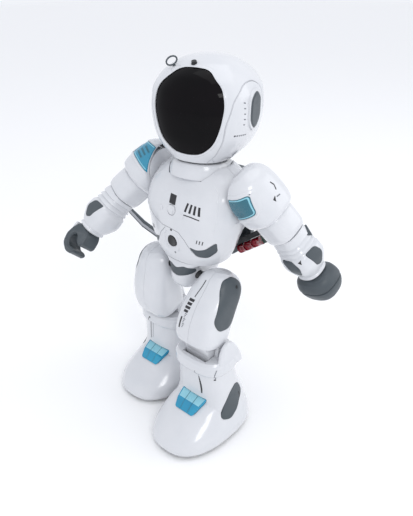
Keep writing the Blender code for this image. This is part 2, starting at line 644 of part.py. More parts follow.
HAND_OUTLINE = (
    (-8, 0), (-13, -8), (-14.5, -18), (-10, -27), (0, -30.5), (8, -28.5), (10.5, -23.5), (5.5, -22.5), (0, -24),
    (-6, -21), (-7, -15), (-3.5, -10.5), (1, -11.5), (5, -16), (10.5, -17), (13.5, -13), (11.5, -5), (8, 0),
)


CLOSED_HAND = (
    (0, 0, 11, 11, 11, 2.4), (-3, 0, 17, 16, 16, 2.6), (-11.5, 0, 19, 17.5, 17.5, 2.8), (-12, 0, 17.6, 16.2, 16.2, 2.8),
    (-13.2, 0, 17.6, 16.2, 16.2, 2.8), (-13.7, 0, 18.6, 17, 17, 2.8), (-21, 0, 16.6, 15, 15, 2.7),
    (-26, 0, 12, 11, 11, 2.5), (-28, 0, 7, 6.5, 6.5, 2.3),
)


def build_closed_hand(word, elbow):
    """A hand with its fingers folded in, a groove running round it under the flared cuff."""
    frame = axis_empty(word + "_hand_frame", elbow, (0, 0, -44.8))
    loft(word + "_hand", CLOSED_HAND, GREY, frame, segments=20)


def build_gripping_hand(side, word, elbow):
    """A curled hand whose fingers and thumb leave a round grip between them."""
    frame = axis_empty(word + "_hand_frame", elbow, (0, 0, -44.8))
    outline = [Vector((-x * side, z)) for x, z in HAND_OUTLINE]
    hand = prism(word + "_hand", rounded_outline(outline, 3, 1), "XZ", -9.5, 9.5, GREY, frame)
    soften(hand, 2.0, 1, 50)
    plate = [(-3, 0, 2, 7.5, 7.5, 3), (-8, 0, 2, 8.5, 8.5, 3), (-19, 0, 2, 8, 8, 3), (-23, 0, 2, 6, 6, 3)]
    place = axis_empty(word + "_knuckle_place", frame, (side * 15.6, 0, 0), (0, side * 16, 0))
    loft(word + "_knuckle_plate", plate, WHITE, place, segments=16)
    boolean(hand, loft(word + "_knuckle_seat", plate, None, place, True, grow=GAP, lift=(GAP, -GAP),
                       segments=16))


# ---- legs ---------------------------------------------------------------------------------------------------
THIGH_PAD = ((-12, 8), (0, 11), (9, 5), (5, -25), (-4, -34), (-18, -35), (-25, -27), (-18, -6))
ANKLE_PAD = ((6, 54), (13, 49), (15, 40), (4, 29), (-9, 25), (-19, 29), (-12, 39), (-4, 48))
INSTEP = ((-15, 45), (15, 45), (11, 33.5), (-11, 33.5))
KNEE_BLOCK = ((8, -6), (8, 24), (-22.5, 24), (-22.5, 3.5), (-15.5, -8), (0, -9))
KNEE_PLATE = ((-17, 76), (-15, 96), (-9, 105), (-1, 108), (8, 107), (14, 99), (17, 76))


def build_leg(side, word):
    """One leg: thigh shells that swing at the hip, and a boot that stays level on the knee."""
    lean = STRIDE * side
    hip = axis_empty(word + "_hip_axis", None, (side * HIP_X, HIP_Y, HIP_Z), (-lean, 0, 0))
    shape = {"segments": 20, "steps": 1}
    cavity = loft(word + "_thigh_hollow", THIGH, None, hip, True, grow=-WALL, lift=(-WALL, -4), **shape)
    halves = {}
    for half, low, high in (("outer", 0.15, 60), ("inner", -60, -0.15)):
        shell = loft(f"{word}_{half}_thigh_shell", THIGH, WHITE, hip, **shape)
        boolean(shell, cavity)
        boolean(shell, box(f"{word}_{half}_thigh_side", *zip(side_range(side, low, high), (-60, 60), (-90, 40)),
                           None, hip, True), "INTERSECT")
        halves[half] = shell
    boolean(halves["inner"], cylinder(word + "_hip_bore", (-60, 0, 0), (60, 0, 0), 4.4, None, hip, True,
                                      segments=12))
    surface_plate(word + "_thigh_pad", halves["outer"], THIGH, rounded_outline(THIGH_PAD, 5, 2), "YZ",
                  side_range(side, 8, 60), GREY, hip, 0.0, 1.4, **shape)
    for half in halves.values():
        boolean(half, cylinder(word + "_knee_relief", (-18.4, 0, -THIGH_LENGTH), (18.4, 0, -THIGH_LENGTH), 9.4, None,
                               hip, True, segments=20))
    block = [Vector((y, z - THIGH_LENGTH)) for y, z in KNEE_BLOCK]
    boolean(halves["inner"], prism(word + "_knee_block", block, "YZ", -13.5, 13.5, None, hip, True), "UNION")
    boolean(halves["outer"], prism(word + "_knee_gap", grown_outline(block, GAP), "YZ", -13.8, 13.8, None, hip,
                                   True))
    boolean(halves["inner"], cylinder(word + "_knee_bore", (-17, 0, -THIGH_LENGTH), (17, 0, -THIGH_LENGTH), 3.4,
                                      None, hip, True, segments=12))
    knee = axis_empty(word + "_knee_axis", hip, (0, 0, -THIGH_LENGTH), (lean, 0, 0))
    build_boot(side, word, knee)


def knee_height():
    return HIP_Z - THIGH_LENGTH * cos(radians(STRIDE))


def build_boot(side, word, knee):
    """Boot shell with collar, instep piece, ankle pad, sole and wheels, in a frame on the ground."""
    boot = axis_empty(word + "_boot_frame", knee, (0, 0, -knee_height()))
    shape = {"segments": 24, "steps": 1}
    shell = loft(word + "_boot_shell", FOOT, WHITE, boot, **shape)
    boolean(shell, loft(word + "_shin", SHIN, None, boot, True, **shape), "UNION")
    pivot = knee_height()
    collar_rows = [(71, -4, 25, 18, 19, 2.8), (76.5, -4.5, 28, 22.5, 22, 2.8), (84.5, -4.5, 28, 22.5, 22, 2.8),
                   (87.9, -4, 26.2, 20.8, 20.5, 2.8)]
    boolean(shell, loft(word + "_knee_collar", collar_rows, None, boot, True, **shape), "UNION")
    boolean(shell, loft(word + "_foot_hollow", FOOT, None, boot, True, grow=-WALL, lift=(-4, -WALL), **shape))
    boolean(shell, loft(word + "_shin_hollow", [(18, -4, 28, 28, 32, 2.5), (40, -3, 26, 17, 27, 2.8),
                                                (58, -4, 24, 16.8, 20.8, 2.8), (84.2, -4, 22.8, 17.4, 17, 2.8)],
                        None, boot, True, **shape))
    boolean(shell, box(word + "_knee_slot", (-14, -21, 60), (14, 12.6, 95), None, boot, True))
    ear = [Vector(p) for p in ((-10, 81.3), (-8.6, pivot + 1), (-6, pivot + 6.2), (0, pivot + 8.4),
                               (6, pivot + 6.2), (8.6, pivot + 1), (10, 81.3))]
    for sign, tag in ((-1, "inner"), (1, "outer")):
        boolean(shell, prism(f"{word}_{tag}_knee_ear", ear, "YZ", *side_range(sign, 14.2, 18.1), parent=boot,
                             cutter=True), "UNION")
    plate = rounded_outline(KNEE_PLATE, 5, 2)
    boolean(shell, soften(prism(word + "_knee_plate", plate, "YZ", *side_range(side, 22.6, 26.9), parent=boot,
                                cutter=True), 1.2, 1), "UNION")
    boolean(shell, cylinder(word + "_knee_pin", (-16, 0, pivot), (16, 0, pivot), 3.0, None, boot, True,
                            segments=12), "UNION")

    instep = rounded_outline(INSTEP, 2, 2)
    surface_instep(word, shell, instep, boot)
    ankle = rounded_outline(ANKLE_PAD, 4, 2)
    ankle_host = union_height_table()
    surface_plate(word + "_ankle_pad", shell, ankle_host, ankle, "YZ", side_range(side, 12, 60), GREY, boot,
                  -0.4, 1.6, **shape)
    build_sole(word, boot, shell)


def union_height_table():
    """Outer shape of the boot at the ankle, where the foot runs into the shin."""
    return ((12, -8, 36.5, 56, 45.5, 2.35), (24, -7, 34, 49, 42, 2.25), (32, -5, 30.6, 30, 36, 2.5),
            (42, -3, 28.5, 19.5, 30, 2.8), (58, -4, 26.5, 19, 23, 2.8), (74, -4, 26, 19.5, 20, 2.8))


def surface_instep(word, shell, outline, boot):
    """Faceted block on the front of the ankle, seated in a pocket of the boot."""
    wedge = prism(word + "_instep_insert", outline, "XZ", -44, -17, BLUE, boot)
    for tag, tilt in (("lower", -46), ("upper", -64)):
        slope = axis_empty(f"{word}_instep_{tag}_slope", boot, (0, -31.2, 39.8), (tilt, 0, 0))
        boolean(wedge, box(f"{word}_instep_{tag}_cut", (-40, -60, -60), (40, 0, 60), None, slope, True))
    soften(wedge, 0.7, 1, 30)
    boolean(shell, prism(word + "_instep_pocket", grown_outline(outline, GAP), "XZ", -70, -16.6, parent=boot,
                         cutter=True))


def build_sole(word, boot, shell):
    """Sole plate with two wheels on one axle under the heel."""
    sole_rows = [(0, -8, 31, 51, 40, 2.5), (2.6, -8, 33, 53, 42, 2.5)]
    sole = loft(word + "_sole_plate", sole_rows, GREY, boot, segments=24)
    wheel_axis = axis_empty(word + "_wheel_axis", boot, (0, 14, 6.0))
    wheels = cylinder_mesh((-19, 0, 0), (19, 0, 0), 1.5, 10)
    wheel_set = mesh_object(word + "_wheels", wheels, RUBBER, wheel_axis)
    for x in (-16, 12):
        boolean(wheel_set, cylinder(f"{word}_wheel_{x}", (x, 0, 0), (x + 4, 0, 0), 6.0, None, wheel_axis, True,
                                    segments=20), "UNION")
        boolean(sole, box(f"{word}_wheel_slot_{x}", (x - 0.8, 6.5, -2), (x + 4.8, 21.5, 5), None, boot, True))
    boolean(sole, box(word + "_axle_slot", (-20, 11.5, 2), (20, 16.5, 5), None, boot, True))


# ---- assembly -----------------------------------------------------------------------------------------------
def build():
    head_axis = axis_empty("head_axis", None, (0, NECK_Y, NECK_Z), (0, HEAD_ROLL, HEAD_TURN))
    build_head(head_axis)
    build_torso()
    build_pelvis()
    build_insides()
    build_backpack()
    for side, word in SIDES:
        build_arm(side, word)
        build_leg(side, word)
    bpy.context.view_layer.update()


build()
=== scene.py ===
"""Looks of the walking toy robot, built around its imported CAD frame.

Lengths are in millimetres and angles in degrees until a piece is finished.
+X is the robot's left, -Y its front.
"""
import json
from math import sin, cos, pi, radians, copysign

import bpy
import bmesh
from mathutils import Matrix, Vector
from mathutils.bvhtree import BVHTree

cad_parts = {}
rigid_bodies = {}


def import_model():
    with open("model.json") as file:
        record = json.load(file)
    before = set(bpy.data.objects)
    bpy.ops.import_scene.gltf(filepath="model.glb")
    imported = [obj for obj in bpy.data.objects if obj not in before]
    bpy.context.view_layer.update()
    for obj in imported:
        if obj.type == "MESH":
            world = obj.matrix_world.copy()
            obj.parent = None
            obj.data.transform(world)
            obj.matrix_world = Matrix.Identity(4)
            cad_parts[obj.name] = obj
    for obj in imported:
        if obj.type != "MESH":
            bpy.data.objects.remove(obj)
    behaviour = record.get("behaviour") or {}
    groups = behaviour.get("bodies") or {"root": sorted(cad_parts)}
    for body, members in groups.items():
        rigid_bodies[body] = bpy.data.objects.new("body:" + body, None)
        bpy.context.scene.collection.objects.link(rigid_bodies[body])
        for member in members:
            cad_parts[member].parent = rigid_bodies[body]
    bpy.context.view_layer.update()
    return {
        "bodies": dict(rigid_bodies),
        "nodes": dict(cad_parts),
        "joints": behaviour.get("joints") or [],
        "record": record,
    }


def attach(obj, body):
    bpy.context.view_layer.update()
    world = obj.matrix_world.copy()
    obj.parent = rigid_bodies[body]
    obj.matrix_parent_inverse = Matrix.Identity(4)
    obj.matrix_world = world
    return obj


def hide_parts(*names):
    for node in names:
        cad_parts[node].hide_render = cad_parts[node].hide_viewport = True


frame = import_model()
BODY_OF = {node: body for body, nodes in frame["record"]["behaviour"]["bodies"].items() for node in nodes}

MM = 0.001
GAP = 0.3
FINER = 3                          # every section has this many times the points of the CAD frame's
STEPS = 4                          # sections added between two rows of a table

# ---- driving dimensions ------------------------------------------------------------------------------------
HIP_X, HIP_Y, HIP_Z = 39.5, -18.0, 148.0
THIGH_LENGTH = 56.0
STRIDE = 15.5                      # each thigh leans this far from upright, the left one forward
SHOULDER = (59.0, 4.0, 231.5)
ARM_SPLAY, FOREARM_SPLAY = 31.0, 21.0
ARM_FORWARD = {1: -26.0, -1: 42.0}  # left arm swings back, right arm swings forward
ELBOW_DROP = 47.5
NECK_Y, NECK_Z = 5.0, 249.0
HEAD_TURN, HEAD_ROLL = 16.5, 2.0
WALL = 2.2
MIDDLE_X, MIDDLE_Y = -3.4, -17.4      # middle of the whole robot's box, moved onto the origin
SIDES = ((1, "left"), (-1, "right"))

# ---- section tables: height, centre y, half width, half depth in front, half depth behind, squareness ------
HELMET = (
    (6, 5, 27, 32, 30, 2.3), (16, 7, 36.5, 39, 40, 2.45), (29, 8, 42.5, 43, 45, 2.6), (46, 8, 45, 44, 47,
        2.6),
    (61, 8, 44, 42, 46.5, 2.5), (72.5, 8, 38.5, 35.5, 41.5, 2.3), (81, 9, 28, 25, 31, 2.2),
    (86.5, 9, 14, 12, 16, 2.1), (87.5, 9, 4, 4, 5, 2.0),
)
TORSO = (
    (163, -4, 33, 27, 26, 2.4), (173, -5, 38, 30, 28, 2.5), (184, -5, 42, 31.5, 31, 2.5),
    (197, -2, 46, 35, 34, 2.5), (212, 0, 50, 37, 37, 2.5), (225, 2, 50, 34, 36, 2.4),
    (235, 3, 46, 27, 32, 2.3), (244, 5, 37, 22, 26, 2.2), (249, 6, 29, 19.5, 21, 2.1),
)
PELVIS = (
    (135, -6, 11, 22, 18, 3.0), (140, -6, 13, 26, 22, 3.2), (151, -5, 15, 28, 24, 3.2), (157, -5, 17, 28, 24,
        3.0),
    (162.6, -4, 28, 27, 24, 2.6),
)
THIGH = (
    (12, 0, 8, 8, 8, 2.0), (9, 0, 14, 13, 13, 2.3), (2, 0, 18.5, 17.5, 17, 2.6), (-9, -4, 21, 19.5, 18, 3.0),
    (-22, -9, 21.5, 20.5, 19, 3.3), (-36, -12, 21.8, 20.5, 18.5, 3.5), (-47, -12.5, 21.5, 19.5, 17.5, 3.5),
    (-52.5, -12.5, 20, 17.5, 16, 3.4),
)
SHIN = (
    (16, -4, 32, 34, 38, 2.5), (30, -4, 30.5, 26, 36, 2.6), (42, -3, 28.5, 19.5, 30, 2.8),
    (58, -4, 26.5, 19, 23, 2.8), (74, -4, 26, 19.5, 20, 2.8),
)
FOOT = (
    (3, -8, 34, 54, 43, 2.5), (8, -8, 36.5, 57, 46, 2.45), (15, -8, 36.5, 55, 45.5, 2.35),
    (24, -7, 34, 45, 42, 2.25), (32, -6, 30, 33.5, 35, 2.2), (38, -5, 26, 24.5, 28, 2.2), (42, -4, 20, 17,
        20, 2.2),
)
SHOULDER_SHELL = (
    (24, 0, 7, 7, 7, 2.0), (21, 0, 13, 15.5, 15.5, 2.1), (12, 0, 18.5, 22, 22, 2.4), (0, 0, 19.5, 23.5, 23.5,
        2.6),
    (-12, 0, 19.5, 23, 23, 2.8), (-20, 0, 18.8, 21.5, 21.5, 2.8), (-23, 0, 16.6, 18.5, 18.5, 2.8),
)
UPPER_ARM = (
    (-20, 0, 13.5, 14.5, 14.5, 3.0), (-26, 0, 15.5, 16.5, 16.5, 3.2), (-41, 0, 15, 16, 16, 3.4),
    (-45, 0, 14, 15, 15, 3.2),
)
FOREARM = (
    (3, 0, 12.5, 13.5, 13.5, 3.0), (-4.5, 0, 14, 15, 15, 3.0), (-5, 0, 12.8, 13.8, 13.8, 3.0),
    (-9, 0, 14.4, 15.4, 15.4, 3.0), (-9.5, 0, 13, 14, 14, 3.0), (-13.5, 0, 14.8, 15.8, 15.8, 3.0),
    (-14, 0, 13.6, 14.6, 14.6, 3.0), (-18, 0, 15.8, 16.6, 16.6, 3.2), (-26, 0, 16.2, 17, 17, 3.4),
    (-34, 0, 14, 15, 15, 3.0), (-39.5, 0, 11.6, 12.6, 12.6, 2.6), (-40.5, 0, 11, 12, 12, 2.4),
    (-42.5, 0, 12, 13, 13, 2.4), (-44.5, 0, 10, 11, 11, 2.4),
)
BACKPACK = (
    (150, 35, 15, 8, 10, 3.0), (160, 37, 24, 10, 13, 3.4), (180, 39, 30, 16, 16, 3.6), (199, 40, 33, 20, 17,
        3.6),
    (223, 40, 34, 22, 17, 3.6), (233, 39, 31, 20, 14, 3.4),
)



def new_collection(name):
    made = bpy.data.collections.new(name)
    bpy.context.scene.collection.children.link(made)
    return made


PARTS = new_collection("toy_robot")
CUTTERS = new_collection("cutters")
PIECES = {}


# ---- materials ---------------------------------------------------------------------------------------------
def new_shader(name):
    made = bpy.data.materials.new(name)
    made.use_nodes = True
    tree = made.node_tree
    return made, tree, tree.nodes["Principled BSDF"]


def noise(tree, scale, detail=3.0, rough=0.55):
    place = tree.nodes.new("ShaderNodeTexCoord")
    made = tree.nodes.new("ShaderNodeTexNoise")
    made.inputs["Scale"].default_value = scale
    made.inputs["Detail"].default_value = detail
    made.inputs["Roughness"].default_value = rough
    tree.links.new(place.outputs["Object"], made.inputs["Vector"])
    return made.outputs["Fac"]


def spread(tree, source, low, high, from_low=0.3, from_high=0.7):
    made = tree.nodes.new("ShaderNodeMapRange")
    for key, value in (("From Min", from_low), ("From Max", from_high), ("To Min", low), ("To Max", high)):
        made.inputs[key].default_value = value
    tree.links.new(source, made.inputs["Value"])
    return made.outputs["Result"]


def two_tone(tree, source, first, second):
    made = tree.nodes.new("ShaderNodeMix")
    made.data_type = "RGBA"
    made.inputs["A"].default_value = (*first, 1)
    made.inputs["B"].default_value = (*second, 1)
    tree.links.new(source, made.inputs["Factor"])
    return made.outputs["Result"]


def bump(tree, layers, strength):
    """Adds up height layers given as (output, depth in millimetres)."""
    before = None
    for source, depth in layers:
        made = tree.nodes.new("ShaderNodeBump")
        made.inputs["Strength"].default_value = strength
        made.inputs["Distance"].default_value = depth * MM
        tree.links.new(source, made.inputs["Height"])
        if before is not None:
            tree.links.new(before, made.inputs["Normal"])
        before = made.outputs["Normal"]
    return before


def plastic(name, first, second, rough, coat=0.0, grain=900.0, grain_depth=0.01, swell_depth=0.02,
            metallic=0.0,
            patch=40.0, shine=0.5):
    """Moulded plastic: faint colour patches, uneven gloss, a shallow swell and the mould's fine grain."""
    made, tree, shader = new_shader(name)
    patches = noise(tree, patch, 4.0)
    colour = two_tone(tree, spread(tree, patches, 0.0, 1.0), first, second)
    tree.links.new(colour, shader.inputs["Base Color"])
    smears = noise(tree, patch * 3.3, 5.0, 0.62)
    tree.links.new(spread(tree, smears, *rough), shader.inputs["Roughness"])
    layers = [(noise(tree, patch * 1.7, 2.0), swell_depth), (noise(tree, grain, 2.0), grain_depth)]
    tree.links.new(bump(tree, layers, 0.5), shader.inputs["Normal"])
    shader.inputs["Coat Weight"].default_value = coat
    shader.inputs["Coat Roughness"].default_value = 0.06
    shader.inputs["Metallic"].default_value = metallic
    shader.inputs["Specular IOR Level"].default_value = shine
    return made


WHITE = plastic("white_abs", (0.68, 0.69, 0.715), (0.64, 0.655, 0.685), (0.15, 0.26), coat=0.45)
GREY = plastic("grey_satin", (0.068, 0.083, 0.094), (0.052, 0.066, 0.077), (0.36, 0.50), grain=1700.0,
               grain_depth=0.03)
# black: real dark parts, and also the painted shade that stands for the ankle slots and the thigh pads' screw
# holes
BLACK = plastic("black_matt", (0.012, 0.013, 0.015), (0.02, 0.021, 0.023), (0.35, 0.5), grain=1700.0,
                grain_depth=0.03)
VISOR = plastic("visor_gloss", (0.002, 0.002, 0.0025), (0.004, 0.003, 0.004), (0.05, 0.11),
                grain_depth=0.002, swell_depth=0.012, shine=0.1)
# teal: the shoulder panels and their label bars, and also the painted shade in the instep blocks' grooves
TEAL = plastic("teal_panel", (0.018, 0.155, 0.215), (0.012, 0.115, 0.165), (0.22, 0.34), coat=0.3)
BLUE = plastic("blue_pearl", (0.015, 0.36, 0.56), (0.008, 0.22, 0.40), (0.16, 0.26), coat=0.6, metallic=0.25,
               grain=2400.0)
RED = plastic("red_gloss", (0.36, 0.006, 0.02), (0.24, 0.004, 0.014), (0.14, 0.24), coat=0.5)
GREEN = plastic("green_satin", (0.025, 0.055, 0.04), (0.018, 0.042, 0.03), (0.3, 0.45))
BOARD = plastic("circuit_board", (0.02, 0.12, 0.05), (0.015, 0.09, 0.04), (0.3, 0.45))
INK = plastic("black_print", (0.014, 0.014, 0.017), (0.022, 0.022, 0.026), (0.3, 0.42), grain=2600.0)
SOFT_INK = plastic("grey_print", (0.16, 0.17, 0.19), (0.12, 0.13, 0.15), (0.3, 0.42), grain=2600.0)
SEAM = plastic("seam_line", (0.26, 0.27, 0.29), (0.20, 0.21, 0.23), (0.4, 0.5), grain=2600.0)
PALE_SEAM = plastic("crease_line", (0.45, 0.46, 0.49), (0.40, 0.41, 0.44), (0.3, 0.4), grain=2600.0)
# pale cyan: the printed rims of the shoulder panels, and also the painted highlight on the instep blocks'
# upper facets
PALE_CYAN = plastic("pale_cyan_print_and_highlight", (0.30, 0.62, 0.72), (0.24, 0.55, 0.66), (0.25, 0.35))
SKY = plastic("sky_blue_panel", (0.035, 0.31, 0.47), (0.02, 0.24, 0.38), (0.2, 0.3), coat=0.4)
RUBBER = plastic("wheel_rubber", (0.018, 0.018, 0.02), (0.028, 0.028, 0.03), (0.6, 0.75), grain=1300.0,
                 grain_depth=0.05)


def stance_frame():
    """Frame that carries everything: it puts the middle of the whole robot's box over the origin."""
    made = bpy.data.objects.new("stance_frame", None)
    made.location = (-MIDDLE_X * MM, -MIDDLE_Y * MM, 0)
    CUTTERS.objects.link(made)
    return made


STANCE = stance_frame()


def axis_empty(name, parent, location, rotation=(0, 0, 0)):
    """An empty whose origin lies on a joint's axis, with its rotation in degrees."""
    made = bpy.data.objects.new(name, None)
    made.empty_display_size = 10 * MM
    made.location = Vector(location) * MM
    made.rotation_euler = [radians(angle) for angle in rotation]
    made.parent = parent or STANCE
    CUTTERS.objects.link(made)
    return made


def mesh_object(name, mesh_data, paint, parent=None, cutter=False):
    """Turns a bmesh in millimetres into an object in metres."""
    bmesh.ops.recalc_face_normals(mesh_data, faces=mesh_data.faces)
    bmesh.ops.scale(mesh_data, vec=(MM, MM, MM), verts=mesh_data.verts)
    mesh = bpy.data.meshes.new(name + "_mesh")
    mesh_data.to_mesh(mesh)
    mesh_data.free()
    made = bpy.data.objects.new(name + "_skin", mesh)
    made.parent = parent or STANCE
    if cutter:
        made.hide_render = True
        made.display_type = "WIRE"
        CUTTERS.objects.link(made)
        return made
    mesh.materials.append(paint)
    mesh.shade_smooth()
    PARTS.objects.link(made)
    PIECES[name] = made
    return made


def boolean(target, tool, operation="DIFFERENCE"):
    step = target.modifiers.new(operation.lower(), "BOOLEAN")
    step.operation = operation
    step.object = tool
    step.solver = "EXACT"
    return target


# ---- lofted bodies -----------------------------------------------------------------------------------------
def slopes(heights, values):
    """Slopes at the rows of a table that never overshoot between them."""
    steps = [b - a for a, b in zip(heights, heights[1:])]
    rises = [(b - a) / step for a, b, step in zip(values, values[1:], steps)]
    made = [rises[0]]
    for before, after, first, second in zip(rises, rises[1:], steps, steps[1:]):
        if before * after <= 0:
            made.append(0.0)
        else:
            weight_a, weight_b = 2 * second + first, second + 2 * first
            made.append((weight_a + weight_b) / (weight_a / before + weight_b / after))
    made.append(rises[-1])
    return made


def refine(table, steps):
    """Adds smoothly interpolated sections between those of a table; close rows stay a sharp step."""
    heights = [row[0] for row in table]
    columns = list(zip(*table))
    tangents = [slopes(heights, column) for column in columns]
    rows = []
    for index, (start, end) in enumerate(zip(table, table[1:])):
        span = end[0] - start[0]
        count = steps if abs(span) > 0.8 else 1
        for step in range(count):
            t = step / count
            rows.append(tuple(
                (2 * t**3 - 3 * t**2 + 1) * a + (t**3 - 2 * t**2 + t) * span * tangent[index]
                + (-2 * t**3 + 3 * t**2) * b + (t**3 - t**2) * span * tangent[index + 1]
                for a, b, tangent in zip(start, end, tangents)))
    rows.append(tuple(table[-1]))
    return rows


def ring_points(row, segments, grow=0.0):
    """One superellipse section; grow widens it all round."""
    height, centre, half_width, front, back, power = row
    points = []
    for index in range(segments):
        angle = 2 * pi * (index + 0.5) / segments
        across, along = cos(angle), sin(angle)
        depth = (back if along > 0 else front) + grow
        points.append(Vector((
            (half_width + grow) * copysign(abs(across) ** (2 / power), across),
            centre + depth * copysign(abs(along) ** (2 / power), along),
            height)))
    return points


def loft_mesh(table, segments=24, steps=1, grow=0.0, lift=(0.0, 0.0)):
    """A closed body through a table of sections; lift moves its first and last section in height."""
    segments *= FINER
    rows = refine(table, STEPS)
    first, last = rows[0], rows[-1]
    rows[0] = (first[0] + lift[0],) + tuple(first[1:])
    rows[-1] = (last[0] + lift[1],) + tuple(last[1:])
    body = bmesh.new()
    rings = [[body.verts.new(p) for p in ring_points(row, segments, grow)] for row in rows]
    for lower, upper in zip(rings, rings[1:]):
        for index in range(segments):
            following = (index + 1) % segments
            body.faces.new((lower[index], lower[following], upper[following], upper[index]))
    body.faces.new(rings[0])
    body.faces.new(rings[-1])
    return body


def loft(name, table, paint, parent=None, cutter=False, **shape):
    return mesh_object(name, loft_mesh(table, **shape), paint, parent, cutter)


def box_mesh(low, high):
    body = bmesh.new()
    bmesh.ops.create_cube(body, size=1.0)
    size = [b - a for a, b in zip(low, high)]
    middle = [(a + b) / 2 for a, b in zip(low, high)]
    bmesh.ops.scale(body, vec=size, verts=body.verts)
    bmesh.ops.translate(body, vec=middle, verts=body.verts)
    return body


def box(name, low, high, paint, parent=None, cutter=False, round_by=0.0):
    made = mesh_object(name, box_mesh(low, high), paint, parent, cutter)
    if round_by:
        soften(made, round_by)
    return made


def soften(target, width, segments=2, angle=40):
    bevel = target.modifiers.new("rounded", "BEVEL")
    bevel.width = width * MM
    bevel.segments = segments
    bevel.limit_method = "ANGLE"
    bevel.angle_limit = radians(angle)
    return target


def cylinder_mesh(start, end, radius, segments=16, end_radius=None):
    segments *= FINER
    start, end = Vector(start), Vector(end)
    along = end - start
    body = bmesh.new()
    bmesh.ops.create_cone(body, cap_ends=True, segments=segments, radius1=radius,
                          radius2=radius if end_radius is None else end_radius, depth=along.length)
    turn = Vector((0, 0, 1)).rotation_difference(along).to_matrix().to_4x4()
    bmesh.ops.transform(body, matrix=Matrix.Translation((start + end) / 2) @ turn, verts=body.verts)
    return body


def cylinder(name, start, end, radius, paint, parent=None, cutter=False, segments=16, end_radius=None):
    return mesh_object(name, cylinder_mesh(start, end, radius, segments, end_radius), paint, parent, cutter)


def rounded_outline(corners, radius, steps=3):
    """A closed outline whose corners are cut by small arcs."""
    steps *= FINER
    points = []
    count = len(corners)
    for index in range(count):
        corner = Vector(corners[index])
        before = Vector(corners[index - 1]) - corner
        after = Vector(corners[(index + 1) % count]) - corner
        reach = min(radius, before.length * 0.45, after.length * 0.45)
        start, end = corner + before.normalized() * reach, corner + after.normalized() * reach
        for step in range(steps + 1):
            t = step / steps
            points.append(start * (1 - t) ** 2 + corner * 2 * t * (1 - t) + end * t * t)
    return points


def grown_outline(points, amount):
    """Moves every point of an outline outward from the outline along its corner's normal."""
    area = sum(a.x * b.y - b.x * a.y for a, b in zip(points, points[1:] + points[:1]))
    sign = 1 if area > 0 else -1
    grown = []
    for index, point in enumerate(points):
        before = (point - points[index - 1]).normalized()
        after = (points[(index + 1) % len(points)] - point).normalized()
        normal = Vector((before.y + after.y, -before.x - after.x)).normalized() * sign
        grown.append(point + normal * amount)
    return grown


def prism_mesh(outline, plane, low, high):
    """An outline in the plane "XZ", "YZ" or "XY" pushed from low to high along the third axis."""
    def place(point, depth):
        if plane == "XZ":
            return Vector((point.x, depth, point.y))
        if plane == "YZ":
            return Vector((depth, point.x, point.y))
        return Vector((point.x, point.y, depth))
    body = bmesh.new()
    near = [body.verts.new(place(p, low)) for p in outline]
    far = [body.verts.new(place(p, high)) for p in outline]
    count = len(outline)
    for index in range(count):
        following = (index + 1) % count
        body.faces.new((near[index], near[following], far[following], far[index]))
    body.faces.new(near)
    body.faces.new(far)
    return body


def prism(name, outline, plane, low, high, paint=None, parent=None, cutter=False):
    return mesh_object(name, prism_mesh(outline, plane, low, high), paint, parent, cutter)


def side_range(side, low, high):
    return (low, high) if side > 0 else (-high, -low)


def mirrored(outline, side):
    return [Vector((p.x * side, p.y)) for p in outline]


# ---- surface plate: a panel that follows a lofted body and fills a pocket cut in it ------------------------
def surface_plate(name, host, table, outline, plane, depth_range, paint, parent, sink=0.6, thick=1.4,
                  **shape):
    """Cuts a pocket shaped like the outline into the host and fills it with a plate of even thickness."""
    deeper = (depth_range[0] - GAP, depth_range[1] + GAP)
    pocket = prism(name + "_pocket", grown_outline(outline, GAP), plane, *deeper, parent=parent, cutter=True)
    floor_shape = loft(name + "_floor", table, None, parent, True, grow=-(sink + thick + GAP), **shape)
    boolean(pocket, floor_shape)
    boolean(host, pocket)
    plate = loft(name, table, paint, parent, grow=-sink, **shape)
    boolean(plate, prism(name + "_edge", outline, plane, *depth_range, parent=parent, cutter=True),
            "INTERSECT")
    boolean(plate, loft(name + "_back", table, None, parent, True, grow=-(sink + thick), **shape))
    return plate


# ---- head --------------------------------------------------------------------------------------------------
VISOR_HALF = ((0, 13.5), (12, 15), (23, 24), (28.5, 38), (31, 54), (28, 67), (13, 79.5), (0, 80.5))
CHEEK = ((-22, 2), (-26, 22), (-27, 42), (-21, 60), (-8, 70), (6, 71), (18, 65), (23, 48), (22, 24), (17, 2))
HELMET_SHAPE = {"segments": 24, "steps": 1}


def symmetric_outline(half, radius):
    """Closes a half outline that runs from bottom to top on the +X side."""
    corners = [Vector(p) for p in half] + [Vector((-x, y)) for x, y in reversed(half[1:-1])]
    return rounded_outline(corners, radius, 2)


